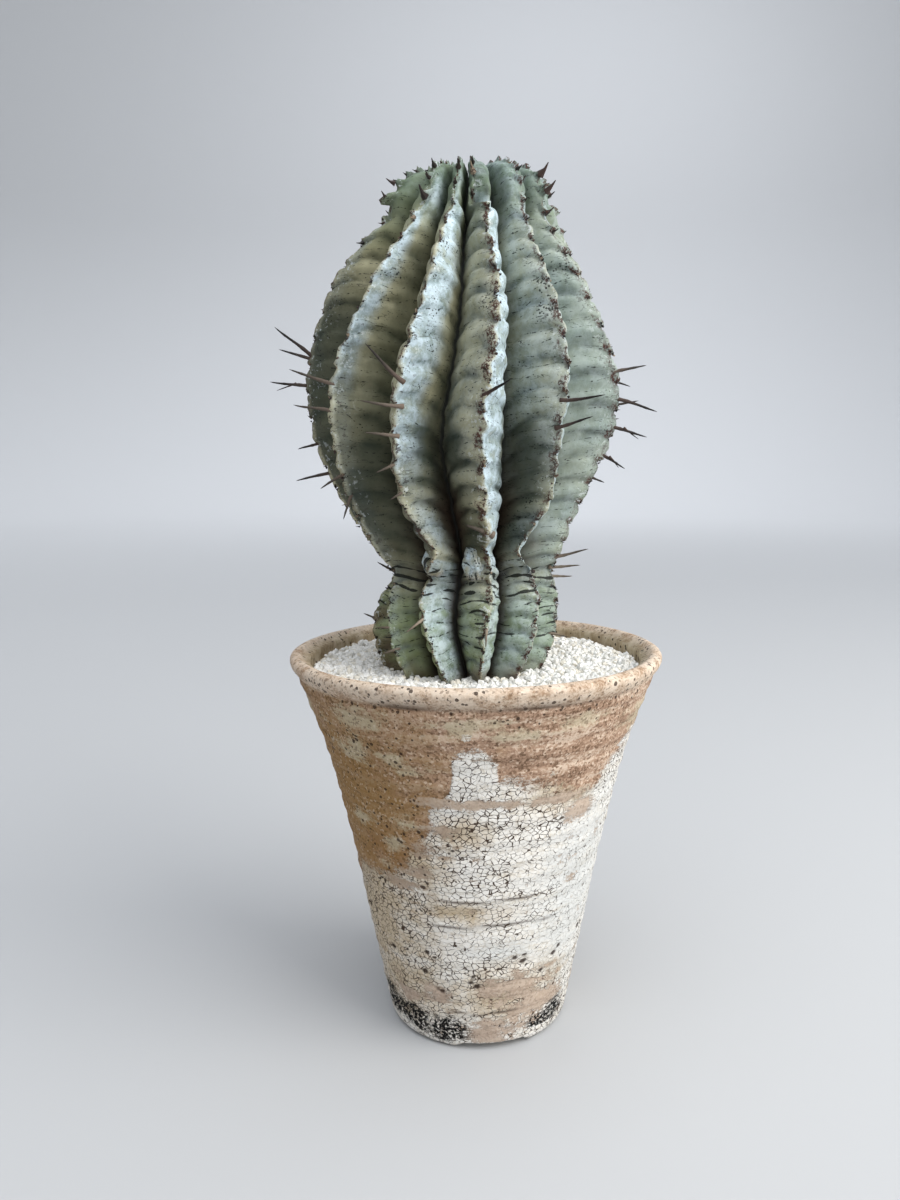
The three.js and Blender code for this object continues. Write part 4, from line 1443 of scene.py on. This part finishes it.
@dataclass(frozen=True)
class WaxySkin:
    """Succulent skin, grown: olive flesh under matt blue-white wax, partly a painted highlight, with corky
    crests, black flecks and painted shade.
    """

    greens: tuple[str, str] = ("#878261", "#c8c29f")
    young_green: str = "#576c4c"
    old_green: str = "#76854a"
    # Painted shade deep in the lower valleys, in the hollows under the swellings and towards the valleys; the
    # dark patches are partly painted shade too
    valley_shade: str = "#33211e"
    groove: str = "#3f4433"
    dark_patch_and_shade: str = "#2b342a"
    blue_green: str = "#7d9390"
    # Pale wax, also the colour of the painted highlight on the right of the crests
    wax_and_highlight_colour: tuple[str, str] = ("#8aa3aa", "#cbdce5")
    rust: str = "#4a2b23"
    cork: str = "#bfb3a2"
    brown: str = "#5b4738"
    shred: tuple[str, str] = ("#33261f", "#dbe2e4")
    soot: str = "#171916"
    # A lump's size in millimetres, detail and roughness of the mottling, the grain, the wax's clouds, the
    # breaks in the crests' rust, its flakes, and the torn wax
    patterns: Sequence[tuple[float, float, float]] = (
        (15, 5, 0.6), (1.6, 3, 0.6), (5, 6, 0.72), (5, 3, 0.5), (0.9, 3, 0.7), (1.5, 4, 0.7))
    # The distance between flecks of mould, and the size of their clusters
    fleck_spacing: float = 1.15
    cluster: float = 7

    def build(self) -> Material:
        """Makes the material.

        Returns:
            The material.
        """
        tree = Tree("waxy_stem_skin", {"Roughness": 0.6, "IOR": 1.42, "Specular IOR Level": 0.3})
        add = tree.add
        place = add("TexCoord", out="Object")
        height = add("SeparateXYZ", {0: place}, out=2)
        across, step, band, cool, wax_and_highlight, dark_patch_and_shade, rust, wrinkle, fissure, brown, mould = (
            add("Attribute", out="Fac", attribute_name=key) for key in (
                "across", "step", "band", "cool", "wax_and_highlight", "dark_patch_and_shade", "rust", "wrinkle", "fissure", "brown",
                "mould"))
        mottle, grain, cloud, broken, flaky, shred = (
            add("TexNoise", {"Vector": place, "Scale": 1 / (size * MM), "Detail": detail, "Roughness": rough})
            for size, detail, rough in self.patterns)
        colour = add("ValToRGB", {0: mottle}, stops=[(0.32, self.greens[0]), (0.68, self.greens[1])])
        young, old = (
            add("MapRange", {"Value": height, "From Min": none, "From Max": full},
                interpolation_type="SMOOTHSTEP")
            for none, full in ((0.296, 0.33), (0.188, 0.172)))
        # By the crest, near it, towards the valley and in its crease, the last two for painted shade; where
        # the crests' rust is kept and where it is gone; the lower half, and where the skin has torn open
        by_crest, beside, toward_valley_shade, crease_shade, there, gone, low, torn_open = (
            add("MapRange", {"Value": value, "From Min": none, "From Max": full}) for value, none, full in (
                (step, 0.5, 0.35), (step, 0.42, 0.04), (step, 0.62, 0.95), (step, 0.93, 0.98),
                (broken, 0.45, 0.54), (broken, 0.56, 0.48), (height, 0.245, 0.205), (fissure, 0.08, 0.4)))
        # The shade under each swelling, soft and missing in places
        turn = add("Math", {0: band}, operation="FRACT")
        swell = add("ValToRGB", {0: turn}, stops=[
            (0.0, "#8a8a8a"), (0.3, "#ffffff"), (0.7, "#c0c0c0"), (0.88, "#000000"), (1.0, "#8a8a8a")])
        hollow = add("MapRange", {"Value": swell, "From Min": 0.8, "From Max": 0.0})
        patchy = add("MapRange", {"Value": mottle, "From Min": 0.6, "From Max": 0.42, "To Min": 0.1})
        hollow = add("Math", {0: hollow, 1: patchy}, operation="MULTIPLY")
        # The wax, partly a painted highlight, thinner where it has been touched
        worn = add("MapRange",
                   {"Value": cloud, "From Min": 0.36, "From Max": 0.56, "To Min": 0.55, "To Max": 1.05})
        wax_and_highlight_share = add("Math", {0: worn, 1: wax_and_highlight}, operation="MULTIPLY", use_clamp=True)
        wax_and_highlight_colour = add("ValToRGB", {0: cloud}, stops=[(0.36, self.wax_and_highlight_colour[0]), (0.58, self.wax_and_highlight_colour[1])])
        # Rust to the left of a crest and cork to the right of it, both broken up
        torn = add("Math", {0: grain, 1: -0.3, 2: across}, operation="MULTIPLY_ADD")
        torn = add("Math", {0: torn, 1: 0.65}, operation="ADD")
        edge = add("ValToRGB", {0: torn}, stops=[
            (0.34, "#000000"), (0.4, "#ffffff"), (0.48, "#ffffff"), (0.505, "#000000")])
        node = add("Math", {0: band, 1: 0.5}, operation="PINGPONG")
        node = add("MapRange", {"Value": node, "From Min": 0.22, "From Max": 0.06})
        most = add("Math", {0: there, 1: rust, 2: node}, operation="MULTIPLY_ADD", use_clamp=True)
        flaky = add("MapRange", {"Value": flaky, "From Min": 0.43, "From Max": 0.5, "To Min": 0.15})
        most = add("Math", {0: most, 1: flaky}, operation="MULTIPLY")
        most = add("Math", {0: most, 1: by_crest}, operation="MULTIPLY")
        rusty = add("Math", {0: edge, 1: most}, operation="MULTIPLY")
        scab = add("ValToRGB", {0: torn}, stops=[
            (0.485, "#000000"), (0.51, "#ffffff"), (0.55, "#ffffff"), (0.59, "#000000")])
        gone = add("Math", {0: gone, 1: by_crest}, operation="MULTIPLY")
        corky = add("Math", {0: scab, 1: gone}, operation="MULTIPLY")
        lower = add("MapRange", {"Value": height, "From Min": 0.21, "From Max": 0.185, "To Min": 0.3})
        corky = add("Math", {0: corky, 1: lower}, operation="MULTIPLY")
        # Torn wax along the crests, in dark and in pale shreds
        shred = add("Math", {0: broken, 1: 0.5, 2: shred}, operation="MULTIPLY_ADD")
        shreds = (add("MapRange", {"Value": shred, "From Min": none, "From Max": full})
                  for none, full in ((0.86, 0.89), (0.64, 0.6)))
        dark_shred, pale_shred = (add("Math", {0: one, 1: beside}, operation="MULTIPLY") for one in shreds)
        # Flecks of sooty mould in clusters
        flecks = add("TexVoronoi", {"Vector": place, "Scale": 1 / (self.fleck_spacing * MM)})
        flat = add("Mapping", {"Vector": place, "Scale": (1, 1, 1.8)})
        thick = add("TexNoise",
                    {"Vector": flat, "Scale": 1 / (self.cluster * MM), "Detail": 3, "Roughness": 0.6})
        thick = add("Math", {0: mould, 1: 0.15, 2: thick}, operation="MULTIPLY_ADD")
        reach = add("MapRange",
                    {"Value": thick, "From Min": 0.55, "From Max": 0.74, "To Min": -0.01, "To Max": 0.38})
        fleck = add("Math", {0: flecks, 1: reach}, operation="LESS_THAN")
        # Fine scratches across the faces, and the black cracks of the oldest skin
        lines = {}
        for name, size, tilt, thin in (("scratch", 13, 0.55, 0.01), ("crack", 16, 0, 0.016)):
            laid = add("Mapping", {"Vector": place, "Rotation": (0, tilt, 0), "Scale": (1, 1, 6)})
            wave = add("TexNoise", {"Vector": laid, "Scale": 1 / (size * MM), "Detail": 4, "Distortion": 0.4})
            off = add("Math", {0: wave, 1: 0.5}, operation="SUBTRACT")
            off = add("Math", {0: off}, operation="ABSOLUTE")
            lines[name] = add("MapRange", {"Value": off, "From Min": thin, "From Max": thin / 3})
        some = add("MapRange", {"Value": thick, "From Min": 0.52, "From Max": 0.6})
        scratch = add("Math", {0: lines["scratch"], 1: some}, operation="MULTIPLY")
        crack = add("Math", {0: lines["crack"], 1: torn_open}, operation="MULTIPLY")
        crack = add("Math", {0: crack, 1: old}, operation="MULTIPLY")
        wave = add("Math", {0: wrinkle}, operation="SINE")
        opened = add("Math", {0: fissure, 1: 0.38, 2: wave}, operation="MULTIPLY_ADD")
        opened = add("Math", {0: grain, 1: 0.5, 2: opened}, operation="MULTIPLY_ADD")
        opened = add("MapRange", {"Value": opened, "From Min": 1.25, "From Max": 1.31})
        # Painted shade deepest in the valleys of the lower part
        deepest = add("Math", {0: toward_valley_shade, 1: low}, operation="MULTIPLY")
        # Painted shade: the hollows, the valleys and their creases, and in part the dark patches; the wax is
        # partly a painted highlight
        layers = ((young, 0.9, self.young_green), (old, 0.8, self.old_green), (cool, 0.6, self.blue_green),
                  (hollow, 0.75, self.groove), (wax_and_highlight_share, 1, wax_and_highlight_colour), (dark_patch_and_shade, 0.85, self.dark_patch_and_shade),
                  (brown, 0.75, self.brown), (toward_valley_shade, 0.35, self.groove), (deepest, 0.8, self.valley_shade),
                  (rusty, 0.95, self.rust), (corky, 0.35, self.cork), (pale_shred, 0.6, self.shred[1]),
                  (dark_shred, 0.85, self.shred[0]), (crease_shade, 0.9, self.soot), (fleck, 0.85, self.soot),
                  (scratch, 0.75, self.soot), (crack, 0.85, self.soot), (opened, 0.92, self.soot))
        colour = tree.layered(colour, layers)
        relief = add("Math", {0: crack, 1: -1, 2: grain}, operation="MULTIPLY_ADD")
        normal = add("Bump", {"Height": relief, "Distance": 0.25 * MM, "Strength": 0.7})
        return tree.finish(Base_Color=colour, Normal=normal)


@dataclass(frozen=True)
class DryStalk:
    """Dead, dried flower stalks: grey-brown wood with a dark tip, weathered to straw on the oldest."""

    young: tuple[str, str] = ("#4d3a33", "#151110")
    old: tuple[str, str] = ("#a89a88", "#63574b")

    def build(self) -> Material:
        """Makes the material.

        Returns:
            The material.
        """
        tree = Tree("dry_flower_stalk", {"Roughness": 0.75, "IOR": 1.45})
        add = tree.add
        place = add("TexCoord", out="Object")
        reach, age = (add("Attribute", out="Fac", attribute_name=key) for key in ("reach", "age"))
        grain = add("TexNoise", {"Vector": place, "Scale": 1 / (0.8 * MM), "Detail": 3})
        along = add("Math", {0: grain, 1: 0.35, 2: reach}, operation="MULTIPLY_ADD")
        fresh = add("ValToRGB", {0: along}, stops=[(0.2, self.young[0]), (0.8, self.young[1])])
        worn = add("ValToRGB", {0: along}, stops=[(0.2, self.old[0]), (1.1, self.old[1])])
        faded = add("Math", {0: age, 1: 1.9}, operation="POWER")
        colour = add("Mix", {0: faded, MIX_FIRST: fresh, MIX_SECOND: worn}, MIX_RESULT, data_type="RGBA")
        normal = add("Bump", {"Height": grain, "Distance": 0.2 * MM, "Strength": 0.8})
        return tree.finish(Base_Color=colour, Normal=normal)


@dataclass(frozen=True)
class GrainedFinish:
    """A finish with one fine grain, whose tone may differ from copy to copy as well."""

    name: str
    constants: dict[str, float]
    stops: Sequence[tuple[float, str]]
    # The grain's size in millimetres, how far it shifts the tone that each copy has, and how deep it is
    grain: float
    shift: float = 0
    depth: float = 0
    strength: float = 1

    def build(self) -> Material:
        """Makes the material.

        Returns:
            The material.
        """
        tree = Tree(self.name, self.constants)
        add = tree.add
        place = add("TexCoord", out="Object")
        grain = tone = add("TexNoise", {"Vector": place, "Scale": 1 / (self.grain * MM), "Detail": 2})
        if self.shift:
            which = add("Attribute", out="Fac", attribute_name="shade")
            tone = add("Math", {0: grain, 1: self.shift, 2: which}, operation="MULTIPLY_ADD")
        sockets = {"Base_Color": add("ValToRGB", {0: tone}, stops=self.stops)}
        if self.depth:
            links = {"Height": grain, "Distance": self.depth * MM, "Strength": self.strength}
            sockets["Normal"] = add("Bump", links)
        return tree.finish(**sockets)


# The hard tips and scars of the teeth: red-brown horn that weathers to black and grey
HORN = GrainedFinish("tooth_horn", {"Roughness": 0.6, "IOR": 1.5},
                     ((0.2, "#14100e"), (0.7, "#261a14"), (1.15, "#432c23"), (1.35, "#83735f")),
                     grain=0.7, shift=0.4)
# Crushed white quartz: bright, slightly greasy faces, a few of them greyer or cream
WHITE_STONE = GrainedFinish("crushed_quartz", {"Roughness": 0.5, "IOR": 1.54},
                            ((0.12, "#d9d6ce"), (0.4, "#eae8e3"), (0.95, "#f5f4f1"), (1.15, "#e2dccf")),
                            grain=0.9, shift=0.3, depth=0.2, strength=0.5)
# Black polyethylene net, moulded: slightly waxy, with a fine drag pattern
NET_PLASTIC = GrainedFinish("black_polyethylene", {"Roughness": 0.45, "IOR": 1.51},
                            ((0.3, "#0f1011"), (0.7, "#1d1f20")), grain=1.5, depth=0.05)


@dataclass(frozen=True)
class CrackledSlip:
    """Unglazed, gritty stoneware with iron specks; the cream slip on its lower part dried to a crackle."""

    clay: tuple[str, str, str] = ("#7b614d", "#b0917a", "#d5bfaa")
    burnt: str = "#8a6135"
    ochre: str = "#8f6c35"
    bare: str = "#baaa9b"
    veil: str = "#c6bda2"
    stain: str = "#b3986a"
    thick: str = "#ced2d2"
    slip: tuple[str, str] = ("#d6cdbe", "#f1eee8")
    crack: str = "#42342a"
    iron: str = "#33231b"
    soot: str = "#100e0c"
    lip: tuple[str, str, str] = ("#a3876c", "#d9c6b1", "#eadbc9")
    inside: tuple[str, str, str] = ("#96805f", "#bba98a", "#d6c9b0")
    grains: tuple[str, str] = ("#57412f", "#eadcc8")
    # Sizes in millimetres: a cell of the crackle, a grain of sand and the distance between iron specks
    cell: float = 2.35
    grit: float = 0.8
    speck_spacing: float = 2.6
    # A lump's size in millimetres, detail and roughness of the clay's grain, the blotches, the black crust,
    # the open stretches of the cracks and the drift between them
    patterns: Sequence[tuple[float, float, float]] = (
        (0.9, 3, 0.7), (8, 5, 0.65), (1.15, 3, 0.7), (2.6, 2, 0.5), (24, 2, 0.5))
    # The patches: how ragged each one's edge is, and over what stretch of its mark it fades in
    patches: Sequence[tuple[str, float, float, float]] = (
        ("burnt", 4, -0.3, 0.9), ("ochre", 2, -0.6, 0.5), ("veil", 3.2, 0.1, 0.8), ("bare", 4.2, -0.3, 0.3),
        ("soot", 1.8, -0.2, 0.2), ("slip", 24, -2.2, 1.6), ("stain", 2.4, -0.4, 0.7), ("calm", 2, -0.4, 0.6))

    def build(self) -> Material:
        """Makes the material.

        Returns:
            The material.
        """
        tree = Tree("crackled_stoneware", {"Roughness": 0.88, "IOR": 1.5, "Specular IOR Level": 0.25})
        add = tree.add
        place = add("TexCoord", out="Object")
        height = add("SeparateXYZ", {0: place}, out=2)
        inside, pit, seam_and_shade, iron = (add("Attribute", out="Fac", attribute_name=key)
                                   for key in ("inside", "pit", "seam_and_shade", "iron"))
        thrown = add("Mapping", {"Vector": place, "Scale": (1, 1, 8)})
        streaks = add("TexNoise", {"Vector": thrown, "Scale": 1 / (24 * MM), "Detail": 7, "Roughness": 0.68})
        grain, blotch, coarse, strokes, drift = (
            add("TexNoise", {"Vector": place, "Scale": 1 / (size * MM), "Detail": detail, "Roughness": rough})
            for size, detail, rough in self.patterns)
        sand = add("TexVoronoi", {"Vector": place, "Scale": 1 / (self.grit * MM)}, out="Color")
        sand = add("SeparateXYZ", {0: sand})
        tone = add("Math", {0: grain, 1: 0.5, 2: streaks}, operation="MULTIPLY_ADD")
        tone = add("Math", {0: sand, 1: 0.2, 2: tone}, operation="MULTIPLY_ADD")
        colour = add("ValToRGB", {0: tone}, stops=zip((0.66, 0.85, 1.04), self.clay))
        ragged = add("Math", {0: grain, 1: 0.5, 2: blotch}, operation="MULTIPLY_ADD")
        drawn = add("Math", {0: streaks, 1: 0.5}, operation="SUBTRACT")
        edges = {}
        for name, spread, low, high in self.patches:
            source = add("Attribute", out="Fac", attribute_name=name)
            torn = add("Math", {0: ragged, 1: spread, 2: source}, operation="MULTIPLY_ADD")
            torn = add("Math", {0: drawn, 1: 0.9 * spread, 2: torn}, operation="MULTIPLY_ADD")
            edges[name] = add("MapRange", {"Value": torn, "From Min": low + 0.75 * spread,
                                           "From Max": high + 0.75 * spread})
        near_lip = add("MapRange", {"Value": height, "From Min": 0.1462, "From Max": 0.1485})
        # The crackle: cells of the slip, with cracks that open in places and close up in others
        warp = add("TexNoise", {"Vector": place, "Scale": 1 / (2.2 * MM), "Detail": 2}, out="Color")
        level = add("Mapping", {"Vector": place, "Scale": (1, 1, 1.3)})
        warped = add("VectorMath", {0: warp, 1: (1.3 * MM,) * 3, 2: level}, operation="MULTIPLY_ADD")
        cells = add("TexVoronoi", {"Vector": warped, "Scale": 1 / (self.cell * MM)},
                    feature="DISTANCE_TO_EDGE")
        strokes = add("Math", {0: drift, 1: 0.5, 2: strokes}, operation="MULTIPLY_ADD")
        strokes = add("Math", {0: edges["calm"], 1: -0.14, 2: strokes}, operation="MULTIPLY_ADD")
        width = add("MapRange",
                    {"Value": strokes, "From Min": 0.58, "From Max": 0.95, "To Min": -0.01, "To Max": 0.062})
        gap = add("Math", {0: cells, 1: width}, operation="SUBTRACT")
        flake = add("MapRange", {"Value": gap, "From Min": -0.004, "From Max": 0.026})
        cream = add("ValToRGB", {0: tone}, stops=[(0.6, self.slip[0]), (0.88, self.slip[1])])
        cream = tree.layered(cream, ((edges["calm"], 0.6, self.thick), (edges["stain"], 0.7, self.stain)))
        flaked = add("Mix", {0: flake, MIX_FIRST: linear(self.crack), MIX_SECOND: cream}, MIX_RESULT,
                     data_type="RGBA")
        kept = add("Math", {0: edges["bare"], 1: -0.85, 2: 1}, operation="MULTIPLY_ADD")
        cover = add("Math", {0: edges["slip"], 1: kept}, operation="MULTIPLY")
        # Iron specks, larger and closer where the body is rich in it
        specks = add("TexVoronoi", {"Vector": place, "Scale": 1 / (self.speck_spacing * MM)})
        rich = add("MapRange",
                   {"Value": iron, "From Min": -0.4, "From Max": 0.5, "To Min": 0.07, "To Max": 0.26})
        size = add("MapRange",
                   {"Value": blotch, "From Min": 0.42, "From Max": 0.6, "To Min": 0.3, "To Max": 1.3})
        size = add("Math", {0: size, 1: rich}, operation="MULTIPLY")
        speck = add("Math", {0: specks, 1: size}, operation="LESS_THAN")
        hole = add("MapRange", {"Value": pit, "From Min": 0.3, "From Max": 0.65})
        crust = add("MapRange", {"Value": coarse, "From Min": 0.43, "From Max": 0.46})
        black = add("Math", {0: edges["soot"], 1: crust}, operation="MULTIPLY")
        # The lip and the inner wall, mottled where ash and water have settled, and single grains of sand
        rim = add("ValToRGB", {0: ragged}, stops=zip((0.58, 0.74, 0.88), self.lip))
        runs = add("Mapping", {"Vector": place, "Scale": (1, 1, 0.4)})
        runs = add("TexNoise", {"Vector": runs, "Scale": 1 / (4.5 * MM), "Detail": 4, "Roughness": 0.65})
        wall = add("ValToRGB", {0: runs}, stops=zip((0.36, 0.5, 0.64), self.inside))
        dark_grain = add("Math", {0: sand, 1: 0.12}, operation="LESS_THAN")
        pale_grain = add("Math", {0: sand, 1: 0.94}, operation="GREATER_THAN")
        # The seam mark paints the cracks under the ridges, and painted shade in the groove under the lip
        layers = ((edges["ochre"], 0.78, self.ochre), (edges["burnt"], 0.6, self.burnt),
                  (edges["veil"], 0.6, self.veil), (near_lip, 0.75, rim), (pale_grain, 0.22, self.grains[1]),
                  (dark_grain, 0.45, self.grains[0]), (inside, 0.8, wall), (cover, 0.97, flaked),
                  (edges["bare"], 0.55, self.bare), (speck, 0.85, self.iron), (seam_and_shade, 0.85, self.crack),
                  (hole, 0.92, self.iron), (black, 1, self.soot))
        colour = tree.layered(colour, layers)
        raised = add("Math", {0: flake, 1: cover}, operation="MULTIPLY")
        relief = add("Math", {0: ragged, 1: 0.6, 2: raised}, operation="MULTIPLY_ADD")
        normal = add("Bump", {"Height": relief, "Distance": 0.3 * MM, "Strength": 0.9})
        return tree.finish(Base_Color=colour, Normal=normal)


@dataclass(frozen=True)
class PottingMix:
    """Damp compost, pressed by hand: dark crumbs with lighter bits of bark and pumice."""

    colours: tuple[str, str, str] = ("#1c1410", "#3a2a1f", "#8d7c66")

    def build(self) -> Material:
        """Makes the material.

        Returns:
            The material.
        """
        tree = Tree("damp_compost", {"Roughness": 0.95, "IOR": 1.4})
        add = tree.add
        place = add("TexCoord", out="Object")
        crumbs = add("TexVoronoi", {"Vector": place, "Scale": 1 / (2.5 * MM)})
        bits = add("TexNoise", {"Vector": place, "Scale": 1 / (4 * MM), "Detail": 4})
        mixed = add("Math", {0: crumbs, 1: 0.4, 2: bits}, operation="MULTIPLY_ADD")
        colour = add("ValToRGB", {0: mixed}, stops=zip((0.4, 0.75, 0.95), self.colours))
        normal = add("Bump", {"Height": crumbs, "Distance": 1 * MM})
        return tree.finish(Base_Color=colour, Normal=normal)


@dataclass
class Studio:
    """A plain pale floor that sweeps up to a backdrop, soft light from the right, and the camera in front."""

    camera_place: tuple[float, float, float] = (-0.0099, -0.375, 0.230)
    pitch: float = 8.5
    roll: float = -0.7
    lens: float = 28.08
    floor_colour: str = "#bcbdbe"
    # The floor's radius, the radius of its sweep and its height, in metres
    reach: float = 5.0
    sweep: float = 1.5
    top: float = 3.4
    sky_strength: float = 2.3
    sky_spread: float = 80
    sky_from: tuple[float, float, float] = (0.1, -0.35, 1.0)
    sky_colour: str = "#f4f8ff"
    world_colour: str = "#e2e6ea"
    world_strength: float = 0.44

    def floor(self) -> None:
        """The floor as a round sheet that sweeps up to a backdrop on all sides."""
        flat, bend = self.reach - self.sweep, self.sweep * math.pi / 2
        length = np.linspace(0, flat + bend + self.top - self.sweep, 61)[:, None]
        angle = np.clip((length - flat) / self.sweep, 0, math.pi / 2)
        out = np.minimum(length, flat) + self.sweep * np.sin(angle)
        rise = self.sweep * (1 - np.cos(angle)) + np.maximum(length - flat - bend, 0)
        x, y = outward(np.linspace(0, 360, 97))
        sheet = rolled_sheet("studio_floor", np.stack([out * x, out * y, rise + 0 * x], -1) / MM)
        tree = Tree("matt_paper", {"Roughness": 0.9})
        tree.shader.inputs["Base Color"].default_value = linear(self.floor_colour)
        shade(sheet, tree.material)

    def lamp(self, name: str, place: tuple[float, float, float], aim: tuple[float, float, float], size: float,
             power: float, colour: str) -> None:
        """Adds a soft square light aimed at a point.

        Args:
            name: the light's name.
            place: where it stands, in metres.
            aim: the point that it faces.
            size: its width, in metres.
            power: its power in watts.
            colour: its colour, as hex.
        """
        bpy.ops.object.light_add(type="AREA", location=place)
        light = bpy.context.object
        light.name = name
        light.data.size, light.data.energy = size, power
        light.data.color = linear(colour)[:3]
        light.rotation_euler = (Vector(aim) - Vector(place)).to_track_quat("-Z", "Y").to_euler()
        light.visible_camera = False

    def build(self) -> None:
        """Sets up the floor, the lights, the surroundings and the camera."""
        self.floor()
        middle = (0, 0, 0.2)
        self.lamp("window", (1.0, -0.6, 0.8), middle, size=1.1, power=18, colour="#fffdf8")
        self.lamp("backdrop", (0.5, 3.0, 2.4), (0.3, self.reach, 1.0), size=1.5, power=32, colour="#f6f9ff")
        bpy.ops.object.light_add(type="SUN", location=(0, 0, 2))
        sky = bpy.context.object
        sky.name = "sky"
        sky.data.energy, sky.data.angle = self.sky_strength, math.radians(self.sky_spread)
        sky.data.color = linear(self.sky_colour)[:3]
        sky.rotation_euler = Vector(self.sky_from).to_track_quat("Z", "Y").to_euler()
        world = bpy.data.worlds.new("studio")
        world.use_nodes = True
        background = world.node_tree.nodes["Background"]
        background.inputs["Color"].default_value = linear(self.world_colour)
        background.inputs["Strength"].default_value = self.world_strength
        bpy.context.scene.world = world
        bpy.context.scene.view_settings.view_transform = "Standard"
        data = bpy.data.cameras.new("camera")
        data.lens = self.lens
        camera = bpy.data.objects.new("camera", data)
        bpy.context.scene.collection.objects.link(camera)
        tilt = Matrix.Rotation(math.radians(90 - self.pitch), 4, "X")
        camera.matrix_world = (Matrix.Translation(self.camera_place) @ tilt
                               @ Matrix.Rotation(math.radians(self.roll), 4, "Z"))
        bpy.context.scene.camera = camera


def dress_plant() -> Stem:
    """Builds the plant.

    Returns:
        The stem, whose outline the gravel follows.
    """
    stem = Stem()
    skin, horn, stalk = WaxySkin().build(), HORN.build(), DryStalk().build()
    pieces = ((stem.skin(), skin, None), (stem.waist_knobs(), skin, None), (stem.horns(), horn, 40),
              (stem.scars(), horn, 40), (Stalks().build(), stalk, None))
    for piece, material, edge in pieces:
        shade(piece, material, edge)
        give(piece, Slot.SKIN, *(["milk_barrel_stem"] if piece.name == "stem_skin" else []))
    return stem


def dress_pot(stem: Stem) -> None:
    """Builds the pot and its filling.

    Args:
        stem: the stem that stands in the gravel.
    """
    pot = Pot().build()
    shade(pot, CrackledSlip().build())
    give(pot, Slot.STONEWARE, "pot")
    gravel, quartz = Gravel(), WHITE_STONE.build()
    for piece, edge in ((gravel.bed(stem), None), (gravel.stones(stem), 20)):
        shade(piece, quartz, edge)
        give(piece, Slot.GRAVEL, *(["gravel_top_dressing"] if piece.name == "loose_stones" else []))
    for node, material in (("potting_mix", PottingMix().build()), ("drain_screen", NET_PLASTIC.build())):
        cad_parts[node].material_slots[0].material = material


def main() -> None:
    """Builds everything."""
    dress_pot(dress_plant())
    Studio().build()


if __name__ == "__main__":
    main()
